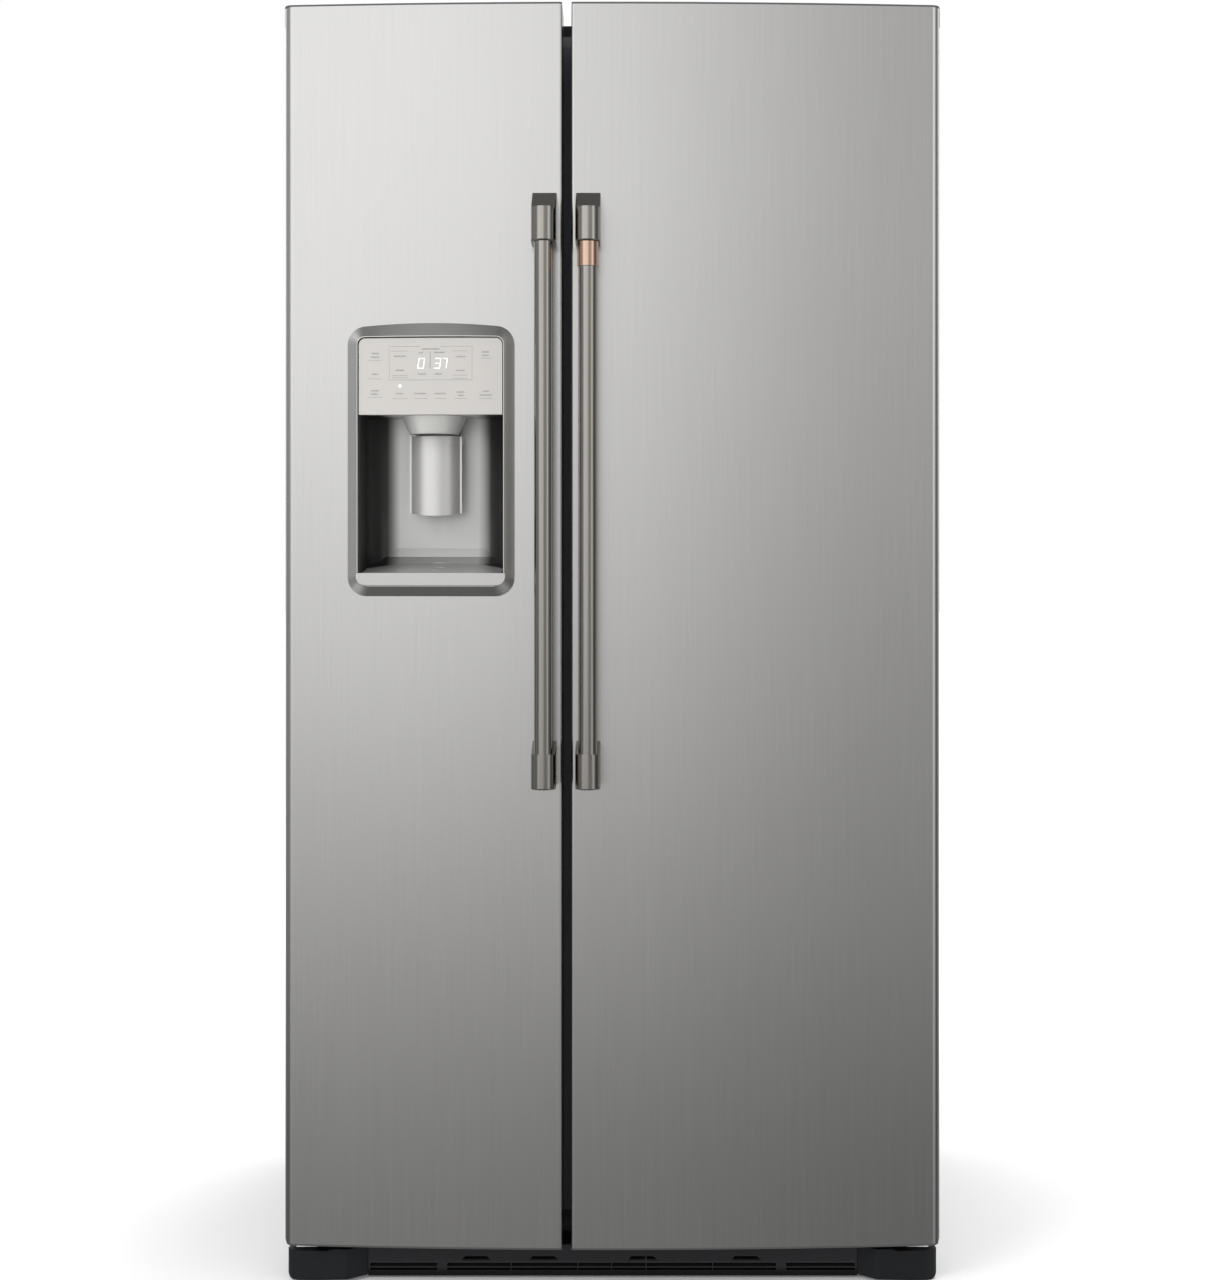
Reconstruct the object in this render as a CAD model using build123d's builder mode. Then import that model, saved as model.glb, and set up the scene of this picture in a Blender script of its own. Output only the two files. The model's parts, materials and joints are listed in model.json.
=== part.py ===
from build123d import *
from math import asin, cos, sin, sqrt
import os

# Side by side refrigerator. Millimetres, +Z up, doors face -Y, origin on the floor
# under the middle of the whole appliance. The freezer is at -X and the fresh food
# side at +X.

# ---------------------------------------------------------------- driving sizes
HALF_WIDTH = 454.0
DOOR_BOTTOM = 54.0
DOOR_TOP = 1765.0
CASE_TOP = 1743.0
CASE_BOTTOM = 20.0
CASE_HALF = 452.0
CASE_FRONT = -219.0
CASE_REAR = 397.0
FOAM_BOTTOM = 75.0
SHEET = 1.2
BACK_REAR = CASE_REAR - SHEET

# doors: outer (hinge) side and inner (handle) side of each
FREEZER = (-HALF_WIDTH, -69.0)
FRIDGE = (HALF_WIDTH, -56.0)
DOOR_BACK = -231.0
BOW_CREST = -333.0
BOW_RISE = 20.0
BOW_RADIUS = (HALF_WIDTH**2 + BOW_RISE**2) / (2 * BOW_RISE)
SKIN = 1.0
CAP = 2.5
CAP_PROUD = 1.0
CAP_SKIRT = 27.0
OUTER_EDGE = 15.0
INNER_EDGE = 3.0
CORNER_BOTTOM = 10.0
CORNER_TOP = 5.0
LINER = 2.0
GAP = 0.2

# door hinges
HINGE_X = 432.0
HINGE_Y = -262.0
PIN_R = 6.0
PIN_FIT = 0.3
NOTCH_X = 405.0
NOTCH_Y = -292.0
NOTCH_Z = 1740.0

# compartments inside the case
WALL_X = 407.0
MULLION = (-89.5, -35.5)
ROOM_BACK = 342.0
ROOM_FLOOR = 125.0
ROOM_TOP = 1690.0
STEP_Y = 150.0
STEP_Z = 335.0
MACHINE_Y = 180.0
MACHINE_Z = 290.0
ROOMS = ((-WALL_X, MULLION[0]), (MULLION[1], WALL_X))

# door liners and what hangs on them
DYKE = 22.0
DYKE_BACK = -161.0
DYKE_Z = (560.0, 1660.0)
FREEZER_DYKES = (-398.0, -110.0)
FRIDGE_DYKES = (-15.0, 398.0)
BIN_BACK = -121.0
BIN_WALL = 3.0

# water and ice dispenser, laid out on a plane that touches the bowed door
DISP_X = -249.0
DISP_TURN = asin(-DISP_X / BOW_RADIUS)
BEZEL_OUT = (115.0, 950.0, 1318.0)
BEZEL_ARCH = 7.0
BEZEL_IN = (100.0, 965.0, 1305.0)
BEZEL_LOW = 1.5
BEZEL_HIGH = 9.0
PANEL_BOTTOM = 1199.0
PANEL_HALF = 99.0
PANEL_TOP = 1303.8
PANEL_DEPTH = 7.0
PANEL_PROUD = 7.0
SILL_HALF = 103.0
SILL_TOP = 982.0
SILL_PROUD = 8.6
SILL_BACK = 1.8
SILL_CORNER = 12.0
RECESS_HALF = 98.8
RECESS_FRONT = 3.6
RECESS_DEPTH = 98.0
RECESS_CURVE = 40.0
RECESS_WALL = 2.5
RECESS_BOTTOM = 960.0
TRAY_HALF = 95.8
TRAY_LOW = 964.0
TRAY_FRONT = 981.0
TRAY_REAR = 995.5
TRAY_FIT = 1.0
CHUTE_U = -1.0
CHUTE_DEPTH = 42.0
CHUTE_R = 34.0
PADDLE_U = -1.0
PADDLE_PIVOT = (84.0, 1166.0)
PADDLE_ARM = 4.0
PADDLE_PIN_R = 3.0
ARM_OUT = 36.0
EAR_OUT = 31.0

# handles
HANDLE_X = (-93.0, -33.0)
HANDLE_Y = -380.0
BAR_R = 12.7
FERRULE_R = 17.0
FERRULES = ((691.0, 739.0), (1430.0, 1476.0))
SOCKET = 10.0

# feet and wheels
ROLLER_R = 22.0
ROLLER_Y = 330.0
AXLE_R = 5.0
LEG_X = 400.0
LEG_Y = -190.0
LEG_R = 6.0

os.makedirs("parts", exist_ok=True)


# --------------------------------------------------------------------- helpers
def save(piece, name):
    """Label a finished piece and write it."""
    piece.part.label = name
    export_step(piece.part, f"parts/{name}.step")


def slab(x, y, z, mode=Mode.ADD):
    """Box between pairs of X, Y and Z limits, added to the part being built."""
    with Locations(((x[0] + x[1]) / 2, (y[0] + y[1]) / 2, (z[0] + z[1]) / 2)):
        Box(abs(x[1] - x[0]), abs(y[1] - y[0]), abs(z[1] - z[0]), mode=mode)


def rod(start, along, radius, length, mode=Mode.ADD):
    """Round bar from a start point, added to the part being built."""
    with BuildSketch(Plane(origin=start, z_dir=along)) as section:
        Circle(radius)
    extrude(section.sketch, amount=length, mode=mode)


def bow(x):
    """Y of the bowed door front at X."""
    return BOW_CREST + BOW_RADIUS - sqrt(BOW_RADIUS**2 - x**2)


def open_box(x, y, z, wall):
    """Box with four walls and a floor, open at the top."""
    slab(x, y, z)
    inner_x = (x[0] + wall, x[1] - wall)
    inner_y = (y[0] + wall, y[1] - wall)
    slab(inner_x, inner_y, (z[0] + wall, z[1] + wall), mode=Mode.SUBTRACT)


def mirrored(x_pair, side):
    """X limits given for the right hand side, placed on either side."""
    return (side * x_pair[0], side * x_pair[1])


# ------------------------------------------------------------------ door shapes
def door_plan(door, inset, back, level):
    """Plan outline of a door: bowed front, rounded front edges, flat back."""
    outer, inner = door
    inward = -1 if outer > inner else 1
    outer = outer + inward * inset
    inner = inner - inward * inset
    middle = (outer + inner) / 2
    with BuildSketch(Plane.XY.offset(level)) as plan:
        with BuildLine():
            front = ThreePointArc(
                (outer, bow(outer) + inset),
                (middle, bow(middle) + inset),
                (inner, bow(inner) + inset),
            )
            Polyline(front @ 1, (inner, back), (outer, back), front @ 0)
        make_face()
        outer_corner = plan.vertices().sort_by_distance((outer, bow(outer), 0))[0]
        fillet(outer_corner, OUTER_EDGE - inset)
        inner_corner = plan.vertices().sort_by_distance((inner, bow(inner), 0))[0]
        fillet(inner_corner, INNER_EDGE - inset)
    return plan.sketch


def door_block(door, inset, back, z):
    """Solid of a door between two levels, with its outer corners rounded in front view."""
    outer, inner = door
    inward = -1 if outer > inner else 1
    low = DOOR_BOTTOM + inset
    high = DOOR_TOP - inset
    edge = outer + inward * inset
    with BuildPart() as block:
        extrude(door_plan(door, inset, back, z[0]), amount=z[1] - z[0])
        with BuildSketch(Plane.XZ.offset(-back)) as outline:
            with BuildLine():
                Polyline((edge, low), (inner, low), (inner, high), (edge, high), close=True)
            make_face()
            bottom_corner = outline.vertices().sort_by_distance((edge, low, 0))[0]
            fillet(bottom_corner, CORNER_BOTTOM - inset)
            top_corner = outline.vertices().sort_by_distance((edge, high, 0))[0]
            fillet(top_corner, CORNER_TOP - inset)
        extrude(amount=-(BOW_CREST - 10 - back), mode=Mode.INTERSECT)
    return block.part


def hinge_notch(side, grow):
    """Pocket in the top hinge corner of a door, open to its top, back and side."""
    x = mirrored((NOTCH_X - grow, HALF_WIDTH + 5), side)
    slab(x, (NOTCH_Y - grow, DOOR_BACK + 5), (NOTCH_Z - grow, DOOR_TOP + 5), Mode.SUBTRACT)


def side_of(door):
    """Which side of the appliance a door is hinged on: 1 for +X, -1 for -X."""
    return 1 if door[0] > 0 else -1


def skin_door(door):
    """Outline of the sheet metal, which stops short of the end caps' proud side."""
    return (door[0] - side_of(door) * CAP_PROUD, door[1])


# ------------------------------------------------- dispenser planes and shapes
DISP_Y = bow(DISP_X)
ACROSS = (cos(DISP_TURN), -sin(DISP_TURN), 0)
INWARD = (sin(DISP_TURN), cos(DISP_TURN), 0)
OUTWARD = (-sin(DISP_TURN), -cos(DISP_TURN), 0)


def disp_point(u, depth, z):
    """Point given by its place across the dispenser, its depth behind the face and its height."""
    return (
        DISP_X + u * ACROSS[0] + depth * INWARD[0],
        DISP_Y + u * ACROSS[1] + depth * INWARD[1],
        z,
    )


def disp_face(proud):
    """Front view plane, proud of the door face."""
    return Plane(origin=disp_point(0, -proud, 0), x_dir=ACROSS, z_dir=OUTWARD)


def disp_plan(level):
    """Plan view plane at a level; local Y is the depth."""
    return Plane(origin=disp_point(0, 0, level), x_dir=ACROSS, z_dir=(0, 0, 1))


def disp_side(u):
    """Side view plane; local X is the depth and local Y the height."""
    return Plane(origin=disp_point(u, 0, 0), x_dir=INWARD, z_dir=ACROSS)


def bezel_outline(proud, half, low, high, arch, radii):
    """Upright rounded outline with a slightly arched top."""
    with BuildSketch(disp_face(proud)) as outline:
        with BuildLine():
            top = ThreePointArc((-half, high), (0, high + arch), (half, high))
            Polyline(top @ 1, (half, low), (-half, low), top @ 0)
        make_face()
        lower = outline.vertices().group_by(Axis.Y)[0]
        fillet(lower, radii[0])
        upper = outline.vertices().filter_by(lambda v: v.Y > high - 1)
        fillet(upper, radii[1])
    return outline.sketch


def recess_plan(level, grow, front):
    """Plan of the dispenser cavity: straight sides that curve into the back wall."""
    half = RECESS_HALF + grow
    with BuildSketch(disp_plan(level)) as plan:
        with BuildLine():
            Polyline(
                (-half, front),
                (half, front),
                (half, RECESS_DEPTH + grow),
                (-half, RECESS_DEPTH + grow),
                close=True,
            )
        make_face()
        fillet(plan.vertices().group_by(Axis.Y)[-1], RECESS_CURVE + grow)
    return plan.sketch


def tray_plan(level, grow):
    """Plan of the drip tray with its curved back edge."""
    half = TRAY_HALF + grow
    with BuildSketch(disp_plan(level)) as plan:
        with BuildLine():
            back = ThreePointArc((-half, 40 + grow), (0, 86 + grow), (half, 40 + grow))
            Polyline(back @ 1, (half, 1), (-half, 1), back @ 0)
        make_face()
    return plan.sketch


def chute_path():
    """Centre line of the ice chute, up from the funnel and back into the freezer."""
    with BuildLine(disp_side(CHUTE_U)) as path:
        FilletPolyline(
            (CHUTE_DEPTH, PANEL_BOTTOM - 1),
            (CHUTE_DEPTH, 1255),
            (CHUTE_DEPTH + 140, 1395),
            radius=60,
        )
    return path.line


def chute_sweep(radius, mode=Mode.ADD):
    """Round passage along the chute, added to the part being built."""
    path = chute_path()
    with BuildSketch(Plane(origin=path @ 0, z_dir=path % 0)) as section:
        Circle(radius)
    sweep(section.sketch, path=path, mode=mode)


# ------------------------------------------------------------------ case shell
with BuildPart() as case_wrapper:
    slab((-CASE_HALF, CASE_HALF), (CASE_FRONT, CASE_REAR), (CASE_BOTTOM, CASE_TOP))
    wrap_inside = (-CASE_HALF + SHEET, CASE_HALF - SHEET)
    slab(wrap_inside, (CASE_FRONT + SHEET, CASE_REAR + 5), (0, CASE_TOP - SHEET), Mode.SUBTRACT)
    slab((-438, 438), (CASE_FRONT - 1, CASE_FRONT + 5), (0, CASE_TOP - 14), Mode.SUBTRACT)
    slab((-455, 455), (CASE_FRONT - 1, CASE_FRONT + SHEET), (0, FOAM_BOTTOM), Mode.SUBTRACT)
    rear_edges = case_wrapper.edges().filter_by(Axis.Y).group_by(Axis.Z)[-1]
    fillet(rear_edges, 1.0)
save(case_wrapper, "case_wrapper")

with BuildPart() as case_back_panel:
    back_half = CASE_HALF - SHEET - GAP
    slab((-back_half, back_half), (BACK_REAR - SHEET, BACK_REAR), (MACHINE_Z, CASE_TOP - SHEET - GAP))
    with BuildSketch(Plane.XZ.offset(-BACK_REAR)) as back_beads:
        with GridLocations(280, 0, 3, 1):
            with Locations((0, 1020)):
                SlotOverall(1300, 34, rotation=90)
    extrude(amount=0.5, mode=Mode.SUBTRACT)
save(case_back_panel, "case_back_panel")

with BuildPart() as case_foam:
    foam_half = CASE_HALF - SHEET - GAP
    foam_front = CASE_FRONT + SHEET + 2 * GAP
    foam_rear = BACK_REAR - SHEET - GAP
    slab((-foam_half, foam_half), (foam_front, foam_rear), (FOAM_BOTTOM, CASE_TOP - SHEET - GAP))
    for low_x, high_x in ROOMS:
        grow = LINER + GAP
        room_x = (low_x - grow, high_x + grow)
        slab(room_x, (CASE_FRONT - 5, STEP_Y + grow), (ROOM_FLOOR - grow, ROOM_TOP + grow), Mode.SUBTRACT)
        slab(room_x, (0, ROOM_BACK + grow), (STEP_Z - grow, ROOM_TOP + grow), Mode.SUBTRACT)
    slab((-500, 500), (MACHINE_Y, 500), (0, MACHINE_Z), Mode.SUBTRACT)
save(case_foam, "case_foam")


def room_liner(room, flange):
    """Moulded liner of one compartment with a step over the machine space."""
    low_x, high_x = room
    shell_x = (low_x - LINER, high_x + LINER)
    flange_y = (CASE_FRONT, CASE_FRONT + SHEET)
    slab(shell_x, (CASE_FRONT, STEP_Y + LINER), (ROOM_FLOOR - LINER, ROOM_TOP + LINER))
    slab(shell_x, (0, ROOM_BACK + LINER), (STEP_Z - LINER, ROOM_TOP + LINER))
    slab(flange, flange_y, (FOAM_BOTTOM + GAP, CASE_TOP - 14 - GAP))
    slab((low_x, high_x), (CASE_FRONT - 5, STEP_Y), (ROOM_FLOOR, ROOM_TOP), Mode.SUBTRACT)
    slab((low_x, high_x), (-5, ROOM_BACK), (STEP_Z, ROOM_TOP), Mode.SUBTRACT)


with BuildPart() as freezer_liner:
    room_liner(ROOMS[0], (-438 + GAP, MULLION[0] + 2.3))
save(freezer_liner, "freezer_liner")

FILTER_AXIS = (365.0, 1655.0)
FILTER_R = 26.0

with BuildPart() as fridge_liner:
    room_liner(ROOMS[1], (MULLION[1] - 2.3, 438 - GAP))
    slab((335, WALL_X), (200, 240), (1622, ROOM_TOP))
    rod((FILTER_AXIS[0], 195, FILTER_AXIS[1]), (0, 1, 0), FILTER_R + 0.5, 25, Mode.SUBTRACT)
save(fridge_liner, "fridge_liner")

with BuildPart() as mullion_rail:
    rail_x = (MULLION[0] + 2.5, MULLION[1] - 2.5)
    slab(rail_x, (CASE_FRONT, CASE_FRONT + SHEET), (FOAM_BOTTOM + GAP, CASE_TOP - 14 - GAP))
save(mullion_rail, "mullion_rail")

with BuildPart() as top_covers:
    slab((-360, 360), (-216, -150), (CASE_TOP, 1760))
    cover_edges = top_covers.edges().filter_by(Axis.X).group_by(Axis.Z)[-1]
    fillet(cover_edges, 4.0)
    for side in (-1, 1):
        slab(mirrored((366, 450), side), (-215, -110), (1749.4, 1763))
    hinge_shell_edges = top_covers.edges().filter_by(Axis.Z).filter_by(lambda e: abs(e.center().X) > 364)
    fillet(hinge_shell_edges, 8.0)
    hinge_top_edges = top_covers.faces().filter_by(lambda f: abs(f.center().X) > 364).sort_by(Axis.Z)[-2:]
    fillet(hinge_top_edges.edges(), 3.0)
    for side in (-1, 1):
        slab(mirrored((372, 444), side), (-209, -116), (1745, 1760), Mode.SUBTRACT)
        slab(mirrored((418, 446), side), (-220, -205), (1745, 1751.5), Mode.SUBTRACT)
save(top_covers, "top_covers")

# ------------------------------------------------------------------- base frame
with BuildPart() as base_frame:
    for side in (-1, 1):
        slab(mirrored((438, 449), side), (-205, 392), (24, FOAM_BOTTOM - GAP))
        slab(mirrored((403, 408), side), (290, 370), (12, FOAM_BOTTOM - GAP))
        slab(mirrored((432, 438), side), (290, 370), (12, 40))
        rod((side * 403, ROLLER_Y, ROLLER_R), (side, 0, 0), AXLE_R, 35)
        slab(mirrored((380, 438), side), (-205, -175), (30, 44))
    slab((-438, 438), (-205, -199), (30, FOAM_BOTTOM - GAP))
    slab((-438, 438), (120, 126), (28, FOAM_BOTTOM - GAP))
    slab((-403, 403), (MACHINE_Y + 4, 390), (28, 30))
    slab((-438, 438), (126, MACHINE_Y + 4), (28, 30))
    for side in (-1, 1):
        rod((side * LEG_X, LEG_Y, 25), (0, 0, 1), LEG_R + PIN_FIT, 30, Mode.SUBTRACT)
save(base_frame, "base_frame")


def roller(side, name):
    with BuildPart() as wheel:
        rod((side * 410, ROLLER_Y, ROLLER_R), (side, 0, 0), ROLLER_R, 20)
        rim = wheel.edges().filter_by(GeomType.CIRCLE)
        fillet(rim, 2.0)
        rod((side * 405, ROLLER_Y, ROLLER_R), (side, 0, 0), AXLE_R + PIN_FIT, 30, Mode.SUBTRACT)
    save(wheel, name)


roller(-1, "rear_roller_left")
roller(1, "rear_roller_right")


def leveling_leg(side, name):
    """Threaded leveling foot, a round pad on a stem with a hexagon to turn it by."""
    with BuildPart() as leg:
        rod((side * LEG_X, LEG_Y, 0), (0, 0, 1), 16, 8)
        fillet(leg.edges().filter_by(GeomType.CIRCLE).sort_by(Axis.Z)[-1], 3.0)
        with BuildSketch(Plane.XY.offset(8)):
            with Locations((side * LEG_X, LEG_Y)):
                RegularPolygon(11, 6)
        extrude(amount=9)
        rod((side * LEG_X, LEG_Y, 17), (0, 0, 1), LEG_R, 50)
    save(leg, name)


leveling_leg(-1, "leveling_leg_left")
leveling_leg(1, "leveling_leg_right")

# ------------------------------------------------------------ toe grille, covers
GRILLE_X = (-340.0, 341.0)
GRILLE_Y = (-285.0, -263.0)

with BuildPart() as base_grille:
    slab(GRILLE_X, GRILLE_Y, (3, 10.5))
    slab(GRILLE_X, (-285, -270), (14, 16))
    slab(GRILLE_X, (-285, -280), (23, 46))
    slab(GRILLE_X, (-280, -222), (43.5, 46))
    for notch_x in (-190, -96, 42, 186):
        with BuildSketch(Plane.XZ.offset(-GRILLE_Y[0])) as notch:
            with BuildLine():
                Polyline(
                    (notch_x - 23, 22.9),
                    (notch_x - 15, 30),
                    (notch_x + 15, 30),
                    (notch_x + 23, 22.9),
                    close=True,
                )
            make_face()
        extrude(amount=-6, mode=Mode.SUBTRACT)
    for rib_x in (-141, -48, -1, 47, 140):
        slab((rib_x - 0.8, rib_x + 0.8), (-284.5, -266), (3, 30))
    for post_x in (-237, 235):
        slab((post_x - 7, post_x + 7), (-285, -270), (3, 46))
    for end_x in (GRILLE_X[0], GRILLE_X[1] - 3):
        slab((end_x, end_x + 3), (-285, -225), (3, 46))
save(base_grille, "base_grille")


def foot_cover(side, inner):
    """Hollow corner cover with rounded outer corners and a tapering lower edge."""
    with BuildPart() as cover:
        with BuildSketch(Plane.XY.offset(1)) as plan:
            with BuildLine():
                Polyline(
                    (side * inner, -286),
                    (side * (inner + 26), -303),
                    (side * 452, -296),
                    (side * 452, -224),
                    (side * inner, -224),
                    close=True,
                )
            make_face()
            fillet(plan.vertices().sort_by_distance((side * 452, -296, 0))[0], 22)
            fillet(plan.vertices().sort_by_distance((side * (inner + 26), -303, 0))[0], 12)
        extrude(amount=44)
        with BuildSketch(Plane.XZ.offset(200)) as front:
            with BuildLine():
                Polyline(
                    (side * (inner - 1), 5),
                    (side * 415, 1),
                    (side * 452, 1),
                    (side * 452, 42),
                    (side * 395, 42),
                    (side * 385, 45),
                    (side * (inner - 1), 45),
                    close=True,
                )
            make_face()
            fillet(front.vertices().sort_by_distance((side * 452, 1, 0))[0], 9)
        extrude(amount=150, mode=Mode.INTERSECT)
        slab(mirrored((345, 448.5), side), (-282, -223), (-1, 39), Mode.SUBTRACT)
        slab(mirrored((411, 460), side), (-281, -215), (38, 50), Mode.SUBTRACT)
    return cover.part


with BuildPart() as foot_covers:
    add(foot_cover(-1, 340.4))
    add(foot_cover(1, 341.4))
save(foot_covers, "foot_covers")

# ----------------------------------------------------------------- door hinges
with BuildPart() as bottom_hinges:
    for side in (-1, 1):
        x = mirrored((414, 446), side)
        slab(x, (-278, -206), (45, 49.5))
        slab(mirrored((400, 437.5), side), (-211, -206.5), (45.5, 72))
        rod((side * HINGE_X, HINGE_Y, 40), (0, 0, 1), PIN_R + 3, 9.5)
        rod((side * HINGE_X, HINGE_Y, 49.5), (0, 0, 1), PIN_R, 22)
    pivot_edges = bottom_hinges.edges().filter_by(GeomType.CIRCLE).group_by(Axis.Z)[-1]
    fillet(pivot_edges, 1.0)
save(bottom_hinges, "bottom_hinges")

with BuildPart() as top_hinges:
    for side in (-1, 1):
        slab(mirrored((382, 443), side), (-207, -122), (CASE_TOP, CASE_TOP + 5))
        slab(mirrored((421, 443), side), (HINGE_Y, -200), (CASE_TOP, CASE_TOP + 5))
        rod((side * HINGE_X, HINGE_Y, CASE_TOP), (0, 0, 1), 11, 5)
        rod((side * HINGE_X, HINGE_Y, CASE_TOP + 5), (0, 0, 1), 8, 3)
        rod((side * HINGE_X, HINGE_Y, CASE_TOP - 33), (0, 0, 1), PIN_R, 33)
        for screw_y in (-185, -140):
            rod((side * 400, screw_y, CASE_TOP + 5), (0, 0, 1), 6, 3)
save(top_hinges, "top_hinges")

# ------------------------------------------------------------ machine compartment
with BuildPart() as compressor:
    with BuildSketch(Plane.XY.offset(48)):
        with Locations((250, 285)):
            Ellipse(95, 74)
    extrude(amount=150)
    fillet(compressor.edges().group_by(Axis.Z)[-1], 42)
    fillet(compressor.edges().group_by(Axis.Z)[0], 15)
    slab((145, 355), (215, 355), (44, 50))
    for foot_x in (160, 340):
        for foot_y in (230, 340):
            rod((foot_x, foot_y, 30), (0, 0, 1), 9, 15)
    rod((250, 285, 190), (0, 0, 1), 5, 30)
    slab((334, 362), (265, 305), (90, 140))
save(compressor, "compressor")

with BuildPart() as condenser_coil:
    for fin in range(18):
        fin_x = -70 + 10 * fin
        slab((fin_x, fin_x + 1.2), (205, 365), (42, 240))
    for tube_y in (230, 285, 340):
        for tube_z in (80, 140, 200):
            rod((-80, tube_y, tube_z), (1, 0, 0), 4, 192)
    slab((-70, 101.2), (205, 365), (38, 42))
save(condenser_coil, "condenser_coil")

COND_FAN = (290.0, 150.0)

with BuildPart() as condenser_fan_shroud:
    slab((-133, -129), (192, 388), (30.2, 270))
    rod((-140, COND_FAN[0], COND_FAN[1]), (1, 0, 0), 78, 20, Mode.SUBTRACT)
    slab((-176, -172), (286, 294), (68, 232))
    slab((-172, -129), (286, 294), (62, 68))
    slab((-172, -129), (286, 294), (232, 238))
    slab((-176, -172), (286, 294), (62, 238))
    rod((-172, COND_FAN[0], COND_FAN[1]), (1, 0, 0), 24, 34)
    rod((-138, COND_FAN[0], COND_FAN[1]), (1, 0, 0), 4, 40)
save(condenser_fan_shroud, "condenser_fan_shroud")


def fan(origin, along, tip, depth, blades):
    """Axial fan: a bored hub and a ring of pitched blades."""
    plane = Plane(origin=origin, z_dir=along)
    with BuildSketch(plane) as hub:
        Circle(20)
    extrude(hub.sketch, amount=depth)
    with Locations(plane.offset(depth / 2).location):
        with PolarLocations(tip / 2 + 8, blades):
            Box(tip - 16, 26, 2, rotation=(35, 0, 0))
    with BuildSketch(plane.offset(-1)) as bore:
        Circle(4 + PIN_FIT)
    extrude(bore.sketch, amount=depth + 2, mode=Mode.SUBTRACT)


with BuildPart() as condenser_fan:
    fan((-128, COND_FAN[0], COND_FAN[1]), (1, 0, 0), 72, 22, 5)
save(condenser_fan, "condenser_fan")

with BuildPart() as water_inlet_valve:
    slab((-330, -270), (340, 378), (180, 240))
    for coil_x in (-315, -285):
        rod((coil_x, 340, 210), (0, -1, 0), 12, 40)
    rod((-300, 378, 210), (0, 1, 0), 10, 6)
    rod((-300, 384, 210), (0, 1, 0), 6.35, 12.5)
    slab((-345, -255), (374, 378), (200, 246))
save(water_inlet_valve, "water_inlet_valve")

with BuildPart() as machine_cover:
    slab((-448, 448), (393, 395), (32, 288))
    with BuildSketch(Plane.XZ.offset(-395)) as louvres:
        with Locations((230, 160)):
            with GridLocations(60, 16, 6, 11):
                SlotOverall(48, 6)
        with Locations((-60, 160)):
            with GridLocations(60, 16, 3, 11):
                SlotOverall(48, 6)
        with Locations((-300, 210)):
            Circle(16)
    extrude(amount=4, both=True, mode=Mode.SUBTRACT)
    for screw_x in (-430, -180, 60, 430):
        rod((screw_x, 395, 278), (0, 1, 0), 5, 1.6)
save(machine_cover, "machine_cover")

# ------------------------------------------------------------- freezer contents
with BuildPart() as evaporator_cover:
    cover_x = (-WALL_X + 0.6, MULLION[0] - 0.6)
    slab(cover_x, (297, 300), (STEP_Z + 1, ROOM_TOP - 1))
    for flange_x in ((cover_x[0], cover_x[0] + 3), (cover_x[1] - 3, cover_x[1])):
        slab(flange_x, (300, 341), (STEP_Z + 1, ROOM_TOP - 1))
    with BuildSketch(Plane.XZ.offset(-297)) as vents:
        with Locations((-248, 1250)):
            with GridLocations(0, 14, 1, 8):
                SlotOverall(120, 7)
        with Locations((-248, 380)):
            with GridLocations(90, 14, 3, 3):
                SlotOverall(70, 7)
    extrude(amount=-4, mode=Mode.SUBTRACT)
    rod((-248, 299, 1330), (0, 1, 0), 4, 32)
    slab((-268, -228), (299, 303), (1310, 1350))
save(evaporator_cover, "evaporator_cover")

with BuildPart() as evaporator_coil:
    for fin in range(24):
        fin_x = -390 + 12 * fin
        slab((fin_x, fin_x + 1), (307, 339), (470, 1000))
    for tube_y in (315, 331):
        for tube in range(6):
            rod((-396, tube_y, 500 + 92 * tube), (1, 0, 0), 4, 300)
save(evaporator_coil, "evaporator_coil")

with BuildPart() as evaporator_fan:
    fan((-248, 306, 1330), (0, 1, 0), 62, 20, 5)
save(evaporator_fan, "evaporator_fan")

ICE_Z = 1404.0
AUGER_Z = 1442.0

with BuildPart() as ice_maker:
    slab((-385, -118), (40, 285), (1625, 1645))
    for cell in range(6):
        cell_y = 60 + 36 * cell
        slab((-330, -150), (cell_y, cell_y + 28), (1629, 1650), Mode.SUBTRACT)
    slab((-385, -118), (-20, 40), (1590, 1680))
    rod((-240, 40, 1668), (0, 1, 0), 5, 245)
    slab((-385, -118), (285, 296), (1610, 1680))
save(ice_maker, "ice_maker")

with BuildPart() as ice_bucket:
    open_box((-388, -112), (-95, 285), (ICE_Z, 1575), BIN_WALL)
    bucket_front = ice_bucket.edges().filter_by(Axis.Z).group_by(Axis.Y)[0]
    fillet(bucket_front, 2.5)
    rod((-250, -55, ICE_Z - 1), (0, 0, 1), 32, 6, Mode.SUBTRACT)
    for end_y in (-92, 277):
        rod((-250, end_y, AUGER_Z), (0, 1, 0), 12, 5)
        rod((-250, end_y - 1, AUGER_Z), (0, 1, 0), 6.3, 8, Mode.SUBTRACT)
save(ice_bucket, "ice_bucket")

with BuildPart() as ice_auger:
    rod((-250, -90, AUGER_Z), (0, 1, 0), 6, 371)
    for blade in range(12):
        blade_y = -75 + 28 * blade
        with Locations(Location((-250, blade_y, AUGER_Z), (0, 40 * blade, 0))):
            Box(56, 8, 7)
save(ice_auger, "ice_auger")

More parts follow.
